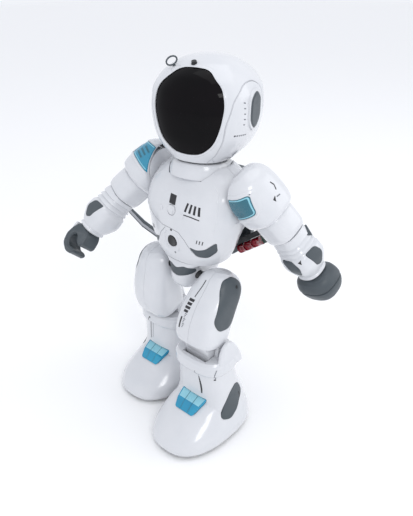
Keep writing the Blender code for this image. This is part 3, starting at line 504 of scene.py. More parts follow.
def build_head(axis):
    """Helmet shells, visor, cheek panels, ear pads and what sits inside."""
    def shell(name):
        made = loft(name, HELMET, WHITE, axis, **HELMET_SHAPE)
        inside = loft(name + "_hollow", HELMET, None, axis, True, grow=-WALL, lift=(-4.0, -WALL),
                      **HELMET_SHAPE)
        return boolean(made, inside)
    split = 27.0
    front, rear = shell("helmet_front_shell"), shell("helmet_rear_shell")
    boolean(front, box("helmet_behind", (-70, split, -20), (70, 90, 120), None, axis, True))
    boolean(rear, box("helmet_ahead", (-70, -90, -20), (70, split + GAP, 120), None, axis, True))

    outline = symmetric_outline(VISOR_HALF, 9)
    boolean(front, prism("visor_window", grown_outline(outline, GAP), "XZ", -60, 0, parent=axis, cutter=True))
    visor = loft("visor", HELMET, VISOR, axis, grow=-0.9, **HELMET_SHAPE)
    boolean(visor, prism("visor_edge", outline, "XZ", -60, 0, parent=axis, cutter=True), "INTERSECT")
    boolean(visor, loft("visor_back", HELMET, None, axis, True, grow=-2.9, **HELMET_SHAPE))

    cheek = rounded_outline(CHEEK, 6, 2)
    for side, word in SIDES:
        reach = side_range(side, 20, 60)
        opening = side_range(side, 20 - GAP, 60)
        window = prism(word + "_cheek_window", grown_outline(cheek, GAP), "YZ", *opening, parent=axis,
                       cutter=True)
        boolean(front, window)
        panel = loft(word + "_cheek_panel", HELMET, WHITE, axis, **HELMET_SHAPE)
        boolean(panel, prism(word + "_cheek_edge", cheek, "YZ", *reach, parent=axis, cutter=True),
                "INTERSECT")
        boolean(panel, loft(word + "_cheek_back", HELMET, None, axis, True, grow=-WALL, lift=(-4.0, 0.0),
                            **HELMET_SHAPE))
        ear_frame = axis_empty(word + "_ear_place", axis, (side * 42.6, 4, 48))
        ear_outline = rounded_outline([(12, 12), (0, 19), (-12, 12), (-13, -8), (0, -19), (13, -8)], 9, 3)
        boolean(panel, prism(word + "_ear_rim", ear_outline, "YZ", *side_range(side, -2.6, 2.2),
                             parent=ear_frame, cutter=True), "UNION")
        boolean(panel, prism(word + "_ear_well", grown_outline(ear_outline, -2.2), "YZ",
                             *side_range(side, -0.5, 9), parent=ear_frame, cutter=True))
        pad = prism(word + "_ear_pad", grown_outline(ear_outline, -2.5), "YZ", *side_range(side, -0.2, 3.2),
                    GREY, ear_frame)
        soften(pad, 1.2, 1)

    cylinder("forehead_sensor", (-3, -12.2, 81.4), (-3, -13.4, 84.8), 2.2, BLACK, axis, segments=12)
    boolean(front, cylinder("forehead_hole", (-3, -9.9, 75), (-3, -16, 91.2), 2.5, None, axis, True,
                            segments=12))
    build_helmet_loop(axis, front)
    neck = cylinder("neck_post", (0, 0, 1.6), (0, 0, 12), 17.5, WHITE, axis, segments=24)
    boolean(neck, cylinder("neck_spindle", (0, 0, -19), (0, 0, 16), 8, None, axis, True, segments=16),
            "UNION")


def build_helmet_loop(axis, front):
    """Small flat ring that stands on the helmet's right brow, with a foot through the shell."""
    frame = axis_empty("loop_place", axis, (-20, -12, 77.4), (0, -30, 30))
    ring = bmesh.new()
    rings = []
    for index in range(14):
        angle = 2 * pi * index / 14
        centre = Vector((4.6 * cos(angle), 0, 6.6 + 3.2 * sin(angle)))
        outward = Vector((cos(angle), 0, sin(angle)))
        rings.append([ring.verts.new(centre + outward * 0.7 * cos(a) + Vector((0, 0.7 * sin(a), 0)))
                      for a in (0, pi / 3, 2 * pi / 3, pi, 4 * pi / 3, 5 * pi / 3)])
    for index, current in enumerate(rings):
        following = rings[(index + 1) % len(rings)]
        for step in range(6):
            ring.faces.new((current[step], current[(step + 1) % 6], following[(step + 1) % 6],
                            following[step]))
    loop = mesh_object("helmet_loop", ring, GREY, frame)
    foot = box("loop_foot", (-1.0, -0.6, -2.0), (1.0, 0.6, 3.4), None, frame, True)
    boolean(loop, foot, "UNION")
    boolean(front, box("loop_slot", (-1.4, -1.0, -8.0), (1.4, 1.0, 5.0), None, frame, True))


# ---- torso -------------------------------------------------------------------------------------------------
TORSO_SHAPE = {"segments": 28, "steps": 1}
WAIST_LEAF = ((18, 184), (25, 181.5), (32, 183), (39.5, 190), (38, 180), (32, 174), (24, 175))
BAND = ((-15, 158), (-8, 159.5), (0, 156.5), (8, 159.5), (15, 158), (14, 152), (0, 148.5), (-14, 152))


COLLAR_PROFILE = ((18.6, 1.6), (24.6, 1.6), (26.4, 0.2), (28.6, -6), (28.8, -11.5), (24.0, -11.5), (18.6,
    -1.5))


def build_torso():
    """Chest and back shells with the collar, sensors, buttons and waist inserts."""
    def shell(name):
        made = loft(name, TORSO, WHITE, **TORSO_SHAPE)
        inside = loft(name + "_hollow", TORSO, None, None, True, grow=-WALL, lift=(WALL, 4.0), **TORSO_SHAPE)
        boolean(made, inside)
        for side, word in SIDES:
            flat = box(f"{name}_{word}_flat", *zip(side_range(side, 48.4, 70), (-60, 60), (206, 280)),
                       None, cutter=True)
            boolean(made, flat)
            boolean(made, cylinder(f"{name}_{word}_bore", (side * 30, *SHOULDER[1:]), (side * 70,
                *SHOULDER[1:]), 6.3, None,
                                   cutter=True))
        return made
    split = 3.0
    front, rear = shell("chest_front_shell"), shell("chest_rear_shell")
    boolean(front, box("chest_behind", (-90, split, 140), (90, 90, 290), None, cutter=True))
    boolean(rear, box("chest_ahead", (-90, -90, 140), (90, split + GAP, 290), None, cutter=True))

    leaf = rounded_outline(WAIST_LEAF, 2.5, 2)
    for side, word in SIDES:
        surface_plate(word + "_waist_insert", front, TORSO, mirrored(leaf, side), "XZ", (-60, -8), GREY, None,
                      0.3, 1.2, **TORSO_SHAPE)
    surface_button("sensor_window", front, 0, 185, 5.2, BLACK, 0.9)
    surface_button("mode_button", front, 0, 214.5, 4.6, WHITE, 1.0)

    collar_frame = axis_empty("collar_place", None, (0, NECK_Y, NECK_Z), (-6, 0, 0))
    turned("collar_ring", COLLAR_PROFILE, WHITE, collar_frame, 24)
    relief = turned("collar_relief", [(0.001, 8), (27.2, 8), (27.2, 0.6), (29.2, -5.6), (29.4, -12), (0.001,
        -12)], None,
                    collar_frame, 24, cutter=True)
    for half in (front, rear):
        boolean(half, relief)


def turned(name, profile, paint, parent, segments, cutter=False):
    """A turned ring whose closed profile runs in the XZ plane."""
    segments *= FINER
    body = bmesh.new()
    rings = []
    for index in range(segments):
        angle = 2 * pi * index / segments
        rings.append([body.verts.new((r * cos(angle), r * sin(angle), z)) for r, z in profile])
    for index, current in enumerate(rings):
        following = rings[(index + 1) % segments]
        for step in range(len(profile)):
            after = (step + 1) % len(profile)
            body.faces.new((current[step], following[step], following[after], current[after]))
    return mesh_object(name, body, paint, parent, cutter)


def front_face(table, height, x):
    """Front surface y of a lofted table at one height and x."""
    rows = refine(table, 1)
    for lower, upper in zip(rows, rows[1:]):
        if lower[0] <= height <= upper[0]:
            t = (height - lower[0]) / (upper[0] - lower[0])
            row = [a + (b - a) * t for a, b in zip(lower, upper)]
            _, centre, half_width, front, _, power = row
            return centre - front * (1 - abs(x / half_width) ** power) ** (1 / power)
    return 0.0


def surface_button(name, host, x, z, radius, paint, proud, segments=16):
    """A short round stud through the chest wall, standing a little proud of it."""
    face = front_face(TORSO, z, x)
    made = cylinder(name, (x, face - proud, z), (x, face + 5.0, z), radius, paint, segments=segments)
    soften(made, 0.4, 1, 60)
    boolean(host, cylinder(name + "_hole", (x, face - 8, z), (x, face + 8, z), radius + GAP / 0.9, None,
                           cutter=True, segments=segments))
    return made


def build_pelvis():
    pelvis = loft("pelvis_shell", PELVIS, WHITE, segments=24)
    boolean(pelvis, loft("pelvis_hollow", PELVIS, None, None, True, grow=-WALL, lift=(WALL, 4.0),
                         segments=24))
    boolean(pelvis, cylinder("hip_bore", (-40, HIP_Y, HIP_Z), (40, HIP_Y, HIP_Z), 4.4, None, cutter=True,
                             segments=12))
    surface_plate("pelvis_band", pelvis, PELVIS, rounded_outline(BAND, 2, 2), "XZ", (-60, -15), GREY, None,
                  0.2, 1.2, segments=24)
    gearbox = box("hip_gearbox", (-8, -25, 141), (8, 8, 156), BLACK)
    boolean(gearbox, cylinder("hip_spindle", (-54, HIP_Y, HIP_Z), (54, HIP_Y, HIP_Z), 4.0, None, cutter=True,
                              segments=12), "UNION")


# ---- what the torso holds ----------------------------------------------------------------------------------
def build_insides():
    box("main_circuit_board", (-26, 12, 180), (26, 13.6, 212), BOARD)
    cylinder("speaker", (0, -9, 194), (0, 1, 194), 14, BLACK, segments=16, end_radius=10)


# ---- backpack ----------------------------------------------------------------------------------------------
def build_backpack():
    """Dark battery housing on the back, with its door, switch and the two side pieces."""
    shape = {"segments": 24, "steps": 1}
    pack = loft("backpack_shell", BACKPACK, GREY, **shape)
    boolean(pack, loft("torso_clearance", TORSO, None, None, True, grow=GAP, **TORSO_SHAPE))
    boolean(pack, box("battery_bay", (-25, 39.5, 188), (25, 70, 224), None, cutter=True))
    door = loft("battery_door", BACKPACK, GREY, **shape)
    boolean(door, box("door_edge", (-24.7, 53.3, 188.3), (24.7, 70, 223.7), None, cutter=True), "INTERSECT")
    box("battery_pack", (-24, 40.2, 189), (24, 52.9, 222), BLUE)
    boolean(pack, box("switch_slot", (-5.3, 43.6, 228.0), (5.3, 48.2, 240), None, cutter=True))
    box("power_switch", (-4.9, 44, 228.4), (-0.1, 47.8, 235), BLACK)
    build_left_wing(pack)
    build_right_wing(pack)


def along_frame(name, start, end):
    """An empty at start whose X axis points at end."""
    along = Vector(end) - Vector(start)
    made = axis_empty(name, None, start)
    made.rotation_euler = Vector((1, 0, 0)).rotation_difference(along).to_euler()
    return made, along.length


def build_left_wing(pack):
    frame, length = along_frame("left_wing_frame", (19, 31, 163), (50, 29, 185))
    rail = box("left_wing_rail", (-4, -4, -1.5), (length + 5, 4, 3.5), BLACK, frame)
    drums = bmesh.new()
    for index in range(3):
        start = 2 + index * 11.4
        append(drums, cylinder_mesh((start, 0, -6.2), (start + 9, 0, -6.2), 4.4, 14))
    drum_set = mesh_object("red_drums", drums, RED, frame)
    boolean(drum_set, cylinder("drum_axle", (3, 0, -6.2), (33, 0, -6.2), 1.6, None, frame, True,
                               segments=10), "UNION")
    box("green_cap", (length - 1.5, -3.6, -10), (length + 8, 3.6, -1.8), GREEN, frame, round_by=0.8)
    bracket = box("left_wing_bracket", (-8, -3, -1), (-3, 9, 24), None, frame, True)
    boolean(rail, bracket, "UNION")
    boolean(pack, box("left_wing_clearance", (-8.4, -5, -11.2), (length + 8, 9.4, 24.4), None, frame, True))


def build_right_wing(pack):
    frame = axis_empty("right_wing_frame", None, (-26, 33, 158), (0, 0, 8))
    outline = [Vector(p) for p in ((0, -4), (-30, -18), (-53, -21.5), (-80, -11), (-102, 5), (-104, 9.5),
                                   (-99, 9), (-78, -4), (-53, -14), (-32, -10.5), (-4, 4), (6, 9), (6, 2))]
    prism("right_wing_blade", outline, "XZ", -1.6, 1.6, GREY, frame)
    boolean(pack, prism("right_wing_clearance", grown_outline(outline, GAP), "XZ", -1.9, 1.9, parent=frame,
                        cutter=True))


def append(target, piece):
    """Adds the vertices and faces of one bmesh to another."""
    copies = {vertex: target.verts.new(vertex.co) for vertex in piece.verts}
    for face in piece.faces:
        target.faces.new([copies[vertex] for vertex in face.verts])
    piece.free()


# ---- arms --------------------------------------------------------------------------------------------------
SHOULDER_PANEL = ((-9, 15), (16, 9), (14, -7), (-17, -7))
FOREARM_PAD = ((-8, -15.5), (5, -16.5), (9, -25), (4, -35), (-3, -32))


def build_arm(side, word):
    """One arm, from the shoulder shell to the hand, in its own tilted frames."""
    swing = axis_empty(word + "_shoulder_axis", None, (side * SHOULDER[0], *SHOULDER[1:]),
                       (-ARM_FORWARD[side], 0, 0))
    arm = axis_empty(word + "_arm_frame", swing, (0, 0, 0), (0, -side * ARM_SPLAY, 0))
    shoulder = loft(word + "_shoulder_shell", SHOULDER_SHELL, WHITE, arm, segments=20)
    boolean(shoulder, loft(word + "_shoulder_hollow", SHOULDER_SHELL, None, arm, True, grow=-WALL,
                           lift=(-WALL, -4), segments=20))
    keep = side_range(side, 49.2 - SHOULDER[0], 60)
    boolean(shoulder, box(word + "_shoulder_side", *zip(keep, (-60, 60), (-70, 60)), None, swing, True),
            "INTERSECT")
    panel_outline = mirrored(rounded_outline(SHOULDER_PANEL, 3, 2), side)
    panel = surface_plate(word + "_shoulder_panel", shoulder, SHOULDER_SHELL, panel_outline, "XZ", (-45, -10),
                          TEAL, arm, 0.3, 1.1, segments=20)
    inner_limit = side_range(side, 49.5 - SHOULDER[0], 60)
    boolean(panel, box(word + "_panel_side", *zip(inner_limit, (-60, 60), (-70, 60)), None, swing, True),
            "INTERSECT")
    boolean(shoulder, cylinder(word + "_shoulder_spindle", (side * -28, 0, 0), (side * -8, 0, 0), 5.9, None,
                               swing,
                               True, segments=16), "UNION")
    boolean(shoulder, cylinder(word + "_shoulder_plate", (side * -10.1, 0, 0), (side * -6.7, 0, 0), 18.2,
                               None, swing,
                               True, segments=20), "UNION")

    upper = loft(word + "_upper_arm", UPPER_ARM, WHITE, arm, segments=16)
    boolean(upper, cylinder(word + "_arm_boss", (0, 0, -26), (0, 0, -7), 9.0, None, arm, True), "UNION")
    boolean(shoulder, loft(word + "_arm_clearance", UPPER_ARM, None, arm, True, grow=0.4, lift=(0.5, 0),
                           segments=16))
    boolean(upper, cylinder(word + "_elbow_bore", (0, 0, -60), (0, 0, -34), 4.4, None, arm, True,
                            segments=12))

    level = axis_empty(word + "_elbow_axis", arm, (0, 0, -ELBOW_DROP))
    elbow = axis_empty(word + "_forearm_frame", level, (0, 0, 0), (0, side * (ARM_SPLAY - FOREARM_SPLAY), 0))
    build_forearm(side, word, level, elbow)
    if side > 0:
        build_closed_hand(word, elbow)
    else:
        build_gripping_hand(side, word, elbow)


def build_forearm(side, word, level, elbow):
    """Stepped sleeve and forearm in one moulding, with a spindle that turns in the upper arm."""
    forearm = loft(word + "_forearm_shell", FOREARM, WHITE, elbow, segments=16)
    boolean(forearm, box(word + "_sleeve_top", (-30, -30, 1.6), (30, 30, 10), None, level, True))
    boolean(forearm, cylinder(word + "_elbow_spindle", (0, 0, 11), (0, 0, -6), 4.0, None, level, True,
                              segments=12), "UNION")
    pad = rounded_outline(FOREARM_PAD, 3, 2)
    plates = []
    for tag, plane, reach in (("front", "XZ", (-40, -4)), ("outer", "YZ", side_range(side, 6, 40))):
        points = mirrored(pad, side) if plane == "XZ" else pad
        pocket = prism(f"{word}_{tag}_pad_pocket", grown_outline(points, GAP), plane, *reach, parent=elbow,
                       cutter=True)
        plates.append((points, plane, reach))
        boolean(pocket, loft(f"{word}_{tag}_pad_floor", FOREARM, None, elbow, True, grow=-1.5, segments=16))
        boolean(forearm, pocket)
    edges = bmesh.new()
    for points, plane, reach in plates:
        append(edges, prism_mesh(points, plane, *reach))
    pads = loft(word + "_forearm_pads", FOREARM, GREY, elbow, segments=16)
    boolean(pads, mesh_object(word + "_pads_edge", edges, None, elbow, True), "INTERSECT")
    boolean(pads, loft(word + "_pads_back", FOREARM, None, elbow, True, grow=-1.2, segments=16))
    for tag, low, high in (("front", (-3, -16.2, -27), (3, 3, -22)), ("outer", (-2.6, -2.6, -26.6), (15.4,
        2.6, -22.4))):
        low, high = (Vector((side * v[0], v[1], v[2])) for v in (low, high))
        low.x, high.x = sorted((low.x, high.x))
        spread = Vector((GAP, GAP, GAP))
        boolean(pads, box(f"{word}_{tag}_pad_stem", low, high, None, elbow, True), "UNION")
        boolean(forearm, box(f"{word}_{tag}_pad_socket", low - spread, high + spread, None, elbow, True))


HAND_OUTLINE = (
    (-8, 0), (-13, -8), (-14.5, -18), (-10, -27), (0, -30.5), (8, -28.5), (10.5, -23.5), (5.5, -22.5), (0,
        -24),
    (-6, -21), (-7, -15), (-3.5, -10.5), (1, -11.5), (5, -16), (10.5, -17), (13.5, -13), (11.5, -5), (8, 0),
)


CLOSED_HAND = (
    (0, 0, 11, 11, 11, 2.4), (-3, 0, 17, 16, 16, 2.6), (-11.5, 0, 19, 17.5, 17.5, 2.8), (-12, 0, 17.6, 16.2,
        16.2, 2.8),
    (-13.2, 0, 17.6, 16.2, 16.2, 2.8), (-13.7, 0, 18.6, 17, 17, 2.8), (-21, 0, 16.6, 15, 15, 2.7),
    (-26, 0, 12, 11, 11, 2.5), (-28, 0, 7, 6.5, 6.5, 2.3),
)


def build_closed_hand(word, elbow):
    """A hand with its fingers folded in, a groove running round it under the flared cuff."""
    frame = axis_empty(word + "_hand_frame", elbow, (0, 0, -44.8))
    loft(word + "_hand", CLOSED_HAND, GREY, frame, segments=20)


def build_gripping_hand(side, word, elbow):
    """A curled hand whose fingers and thumb leave a round grip between them."""
    frame = axis_empty(word + "_hand_frame", elbow, (0, 0, -44.8))
    outline = [Vector((-x * side, z)) for x, z in HAND_OUTLINE]
    hand = prism(word + "_hand", rounded_outline(outline, 3, 1), "XZ", -9.5, 9.5, GREY, frame)
    soften(hand, 2.0, 1, 50)
    plate = [(-3, 0, 2, 7.5, 7.5, 3), (-8, 0, 2, 8.5, 8.5, 3), (-19, 0, 2, 8, 8, 3), (-23, 0, 2, 6, 6, 3)]
    place = axis_empty(word + "_knuckle_place", frame, (side * 15.6, 0, 0), (0, side * 16, 0))
    loft(word + "_knuckle_plate", plate, WHITE, place, segments=16)
    boolean(hand, loft(word + "_knuckle_seat", plate, None, place, True, grow=GAP, lift=(GAP, -GAP),
                       segments=16))


# ---- legs --------------------------------------------------------------------------------------------------
THIGH_PAD = ((-12, 8), (0, 11), (9, 5), (5, -25), (-4, -34), (-18, -35), (-25, -27), (-18, -6))
ANKLE_PAD = ((6, 54), (13, 49), (15, 40), (4, 29), (-9, 25), (-19, 29), (-12, 39), (-4, 48))
INSTEP = ((-15, 45), (15, 45), (11, 33.5), (-11, 33.5))
KNEE_BLOCK = ((8, -6), (8, 24), (-22.5, 24), (-22.5, 3.5), (-15.5, -8), (0, -9))
KNEE_PLATE = ((-17, 76), (-14, 96), (-10, 103), (-4, 106), (2, 104), (8, 96), (14, 85), (17, 76))


def build_leg(side, word):
    """One leg: thigh shells that swing at the hip, and a boot that stays level on the knee."""
    lean = STRIDE * side
    hip = axis_empty(word + "_hip_axis", None, (side * HIP_X, HIP_Y, HIP_Z), (-lean, 0, 0))
    shape = {"segments": 20, "steps": 1}
    cavity = loft(word + "_thigh_hollow", THIGH, None, hip, True, grow=-WALL, lift=(-WALL, -4), **shape)
    halves = {}
    for half, low, high in (("outer", 0.15, 60), ("inner", -60, -0.15)):
        shell = loft(f"{word}_{half}_thigh_shell", THIGH, WHITE, hip, **shape)
        boolean(shell, cavity)
        boolean(shell, box(f"{word}_{half}_thigh_side", *zip(side_range(side, low, high), (-60, 60), (-90,
            40)),
                           None, hip, True), "INTERSECT")
        halves[half] = shell
    boolean(halves["inner"], cylinder(word + "_hip_bore", (-60, 0, 0), (60, 0, 0), 4.4, None, hip, True,
                                      segments=12))
    surface_plate(word + "_thigh_pad", halves["outer"], THIGH, rounded_outline(THIGH_PAD, 5, 2), "YZ",
                  side_range(side, 8, 60), GREY, hip, 0.0, 1.4, **shape)
    for half in halves.values():
        boolean(half, cylinder(word + "_knee_relief", (-18.4, 0, -THIGH_LENGTH), (18.4, 0, -THIGH_LENGTH),
                               9.4, None,
                               hip, True, segments=20))
    block = [Vector((y, z - THIGH_LENGTH)) for y, z in KNEE_BLOCK]
    boolean(halves["inner"], prism(word + "_knee_block", block, "YZ", -13.5, 13.5, None, hip, True), "UNION")
    boolean(halves["outer"], prism(word + "_knee_gap", grown_outline(block, GAP), "YZ", -13.8, 13.8, None,
                                   hip,
                                   True))
    boolean(halves["inner"], cylinder(word + "_knee_bore", (-17, 0, -THIGH_LENGTH), (17, 0, -THIGH_LENGTH),
                                      3.4,
                                      None, hip, True, segments=12))
    knee = axis_empty(word + "_knee_axis", hip, (0, 0, -THIGH_LENGTH), (lean, 0, 0))
    build_boot(side, word, knee)


def knee_height():
    return HIP_Z - THIGH_LENGTH * cos(radians(STRIDE))


def build_boot(side, word, knee):
    """Boot shell with collar, instep piece, ankle pad, sole and wheels, in a frame on the ground."""
    boot = axis_empty(word + "_boot_frame", knee, (0, 0, -knee_height()))
    shape = {"segments": 24, "steps": 1}
    shell = loft(word + "_boot_shell", FOOT, WHITE, boot, **shape)
    boolean(shell, loft(word + "_shin", SHIN, None, boot, True, **shape), "UNION")
    pivot = knee_height()
    collar_rows = [(71, -4, 25, 18, 19, 2.8), (76.5, -4.5, 28, 22.5, 22, 2.8), (84.5, -4.5, 28, 22.5, 22,
        2.8),
                   (87.9, -4, 26.2, 20.8, 20.5, 2.8)]
    boolean(shell, loft(word + "_knee_collar", collar_rows, None, boot, True, **shape), "UNION")
    boolean(shell, loft(word + "_foot_hollow", FOOT, None, boot, True, grow=-WALL, lift=(-4, -WALL), **shape))
    boolean(shell, loft(word + "_shin_hollow", [(18, -4, 28, 28, 32, 2.5), (40, -3, 26, 17, 27, 2.8),
                                                (58, -4, 24, 16.8, 20.8, 2.8), (84.2, -4, 22.8, 17.4, 17,
                                                    2.8)],
                        None, boot, True, **shape))
    boolean(shell, box(word + "_knee_slot", (-14, -21, 60), (14, 12.6, 95), None, boot, True))
    ear = [Vector(p) for p in ((-10, 81.3), (-8.6, pivot + 1), (-6, pivot + 6.2), (0, pivot + 8.4),
                               (6, pivot + 6.2), (8.6, pivot + 1), (10, 81.3))]
    for sign, tag in ((-1, "inner"), (1, "outer")):
        boolean(shell, prism(f"{word}_{tag}_knee_ear", ear, "YZ", *side_range(sign, 14.2, 18.1), parent=boot,
                             cutter=True), "UNION")
    plate = rounded_outline(KNEE_PLATE, 5, 2)
    boolean(shell, soften(prism(word + "_knee_plate", plate, "YZ", *side_range(side, 22.6, 26.9), parent=boot,
                                cutter=True), 1.2, 1), "UNION")
    boolean(shell, cylinder(word + "_knee_pin", (-16, 0, pivot), (16, 0, pivot), 3.0, None, boot, True,
                            segments=12), "UNION")

    instep = rounded_outline(INSTEP, 2, 2)
    surface_instep(word, shell, instep, boot)
    ankle = rounded_outline(ANKLE_PAD, 4, 2)
    ankle_host = union_height_table()
    surface_plate(word + "_ankle_pad", shell, ankle_host, ankle, "YZ", side_range(side, 12, 60), GREY, boot,
                  -0.4, 1.6, **shape)
    build_sole(word, boot, shell)


def union_height_table():
    """Outer shape of the boot at the ankle, where the foot runs into the shin."""
    return ((12, -8, 36.5, 56, 45.5, 2.35), (24, -7, 34, 49, 42, 2.25), (32, -5, 30.6, 30, 36, 2.5),
            (42, -3, 28.5, 19.5, 30, 2.8), (58, -4, 26.5, 19, 23, 2.8), (74, -4, 26, 19.5, 20, 2.8))


def surface_instep(word, shell, outline, boot):
    """Faceted block on the front of the ankle, seated in a pocket of the boot."""
    wedge = prism(word + "_instep_insert", outline, "XZ", -44, -17, BLUE, boot)
    for tag, tilt in (("lower", -46), ("upper", -64)):
        slope = axis_empty(f"{word}_instep_{tag}_slope", boot, (0, -31.2, 39.8), (tilt, 0, 0))
        boolean(wedge, box(f"{word}_instep_{tag}_cut", (-40, -60, -60), (40, 0, 60), None, slope, True))
    soften(wedge, 0.7, 1, 30)
    boolean(shell, prism(word + "_instep_pocket", grown_outline(outline, GAP), "XZ", -70, -16.6, parent=boot,
                         cutter=True))


def build_sole(word, boot, shell):
    """Sole plate with two wheels on one axle under the heel."""
    sole_rows = [(0, -8, 31, 51, 40, 2.5), (2.6, -8, 33, 53, 42, 2.5)]
    sole = loft(word + "_sole_plate", sole_rows, GREY, boot, segments=24)
    wheel_axis = axis_empty(word + "_wheel_axis", boot, (0, 14, 6.0))
    wheels = cylinder_mesh((-19, 0, 0), (19, 0, 0), 1.5, 10)
    wheel_set = mesh_object(word + "_wheels", wheels, RUBBER, wheel_axis)
    for x in (-16, 12):
        boolean(wheel_set, cylinder(f"{word}_wheel_{x}", (x, 0, 0), (x + 4, 0, 0), 6.0, None, wheel_axis,
                                    True,
                                    segments=20), "UNION")
        boolean(sole, box(f"{word}_wheel_slot_{x}", (x - 0.8, 6.5, -2), (x + 4.8, 21.5, 5), None, boot, True))
    boolean(sole, box(word + "_axle_slot", (-20, 11.5, 2), (20, 16.5, 5), None, boot, True))


# ---- assembly ----------------------------------------------------------------------------------------------
def build():
    head_axis = axis_empty("head_axis", None, (0, NECK_Y, NECK_Z), (0, HEAD_ROLL, HEAD_TURN))
    build_head(head_axis)
    build_torso()
    build_pelvis()
    build_insides()
    build_backpack()
    for side, word in SIDES:
        build_arm(side, word)
        build_leg(side, word)
    bpy.context.view_layer.update()



# ---- finished pieces ---------------------------------------------------------------------------------------
EDGE_ROUND = {"chest_front_shell": 0.5, "chest_rear_shell": 0.5, "helmet_front_shell": 0.6,
              "helmet_rear_shell": 0.4,
              "visor": 0.7, "backpack_shell": 0.6, "battery_door": 0.6}
NOT_ROUNDED = ("collar_ring", "neck_post", "red_drums", "helmet_loop", "main_circuit_board")


def finish_pieces():
    """Rounds the cut edges, freezes every piece in place and lets it stand for its CAD node."""
    for name, piece in PIECES.items():
        if name not in NOT_ROUNDED and not any(step.type == "BEVEL" for step in piece.modifiers):
            soften(piece, EDGE_ROUND.get(name, 0.35), 2, 38)
        smooth = piece.modifiers.new("even_normals", "WEIGHTED_NORMAL")
        smooth.keep_sharp = True
    bpy.context.view_layer.update()
    view = bpy.context.evaluated_depsgraph_get()
    frames = {made.name: made.matrix_world.copy() for made in CUTTERS.objects if made.type == "EMPTY"}
    finished = {}
    for name, piece in PIECES.items():
        mesh = bpy.data.meshes.new_from_object(piece.evaluated_get(view), preserve_all_data_layers=True,
                                               depsgraph=view)
        mesh.transform(piece.matrix_world)
        finished[name] = mesh
    for collection in (PARTS, CUTTERS):
        for old in list(collection.objects):
            bpy.data.objects.remove(old)
    made = {}
    for name, mesh in finished.items():
        mesh.set_sharp_from_angle(angle=radians(38))
        made[name] = bpy.data.objects.new(name + "_shape", mesh)
        PARTS.objects.link(made[name])
        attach(made[name], BODY_OF[name])
        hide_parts(name)
    return made, frames


# ---- printed marks, painted highlight and painted shade, and small details, laid onto the finished surfaces ---
RAY_START = 0.2                    # metres outside the robot
SKIN_DEPTH = 0.25                  # how far a mark reaches below the surface it lies on
DISC_SLICES = 16


class SurfaceMarker:
    """Lays thin marks on one piece.

    Points are given in one of its frames and dropped along that frame's axis.
    """

    def __init__(self, node, frame_name, plane, toward=-1):
        self.node = node
        self.matrix = FRAMES[frame_name]
        self.plane = plane
        mesh = SHAPES[node].data
        self.tree = BVHTree.FromPolygons([v.co.copy() for v in mesh.vertices],
                                         [list(p.vertices) for p in mesh.polygons])
        self.out = Vector((0, toward, 0)) if plane == "XZ" else Vector((toward, 0, 0))

    def drop(self, point, lift):
        """The point's place on the piece, lifted off it in millimetres, or None where it misses."""
        a, b = point
        local = Vector((a, 0, b)) if self.plane == "XZ" else Vector((0, a, b))
        out = (self.matrix.to_3x3() @ self.out).normalized()
        start = self.matrix @ (local * MM) + out * RAY_START
        hit, normal, _, _ = self.tree.ray_cast(start, -out)
        if hit is None:
            return None
        return hit + out * lift * MM

    def sheet(self, name, rows, paint, height=0.09):
        """A closed skin through rows of points; rows that miss the piece are left off."""
        columns = height if isinstance(height, tuple) else (height,) * len(rows[0])
        top = longest_run([[self.drop(p, lift) for p, lift in zip(row, columns)] for row in rows])
        if len(top) < 2:
            return None
        body = bmesh.new()
        out = (self.matrix.to_3x3() @ self.out).normalized()
        low = [[p - out * (lift + SKIN_DEPTH) * MM for p, lift in zip(row, columns)] for row in top]
        upper = [[body.verts.new(p) for p in row] for row in top]
        lower = [[body.verts.new(p) for p in row] for row in low]
        for i in range(len(top) - 1):
            for j in range(len(columns) - 1):
                for grid in (upper, lower):
                    body.faces.new((grid[i][j], grid[i][j + 1], grid[i + 1][j + 1], grid[i + 1][j]))
        loop_upper = edge_loop(upper)
        loop_lower = edge_loop(lower)
        for k in range(len(loop_upper)):
            n = (k + 1) % len(loop_upper)
            body.faces.new((loop_upper[k], loop_upper[n], loop_lower[n], loop_lower[k]))
        bmesh.ops.recalc_face_normals(body, faces=body.faces)
        mesh = bpy.data.meshes.new(name)
        body.to_mesh(mesh)
        body.free()
        mesh.materials.append(paint)
        mesh.shade_smooth()
        mesh.set_sharp_from_angle(angle=radians(40))
        made = bpy.data.objects.new(name, mesh)
        PARTS.objects.link(made)
        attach(made, BODY_OF[self.node])
        return made

    def patch(self, name, corners, paint=None, slot_name="black_plastic", height=0.09, step=0.8):
        """A four-cornered mark; corners run round it."""
        a, b, c, d = (Vector(p) for p in corners)
        across = max(2, int(max((b - a).length, (c - d).length) / step) + 2)
        along = max(2, int(max((d - a).length, (c - b).length) / step) + 2)
        rows = []
        for i in range(along):
            t = i / (along - 1)
            left, right = a.lerp(d, t), b.lerp(c, t)
            rows.append([left.lerp(right, j / (across - 1)) for j in range(across)])
        return self.sheet(name, rows, paint or INK, height)

    def stroke(self, name, path, width, paint=None, height=0.09, closed=False):
        """A line of even width along a path."""
        points = fine_path([Vector(p) for p in path], 0.9, closed)
        rows = []
        count = len(points)
        for i, p in enumerate(points):
            before = points[i - 1] if i or closed else p
            after = points[(i + 1) % count] if i < count - 1 or closed else p
            along = (after - before).normalized()
            side = Vector((-along.y, along.x)) * width / 2
            rows.append([p - side, p, p + side])
        if closed:
            rows.append(rows[0])
        return self.sheet(name, rows, paint or INK, height)

    def disc(self, name, centre, radius, paint=None, height=0.09, stretch=1.0):
        """A round or oval spot, swept as a strip from one side to the other."""
        rows = []
        for i in range(1, DISC_SLICES):
            t = cos(pi * i / DISC_SLICES)
            half = radius * (1 - t * t) ** 0.5
            rows.append([Vector((centre[0] + half * across, centre[1] + radius * t * stretch))
                         for across in (-1, -.5, 0, .5, 1)])
        return self.sheet(name, rows, paint or INK, height)


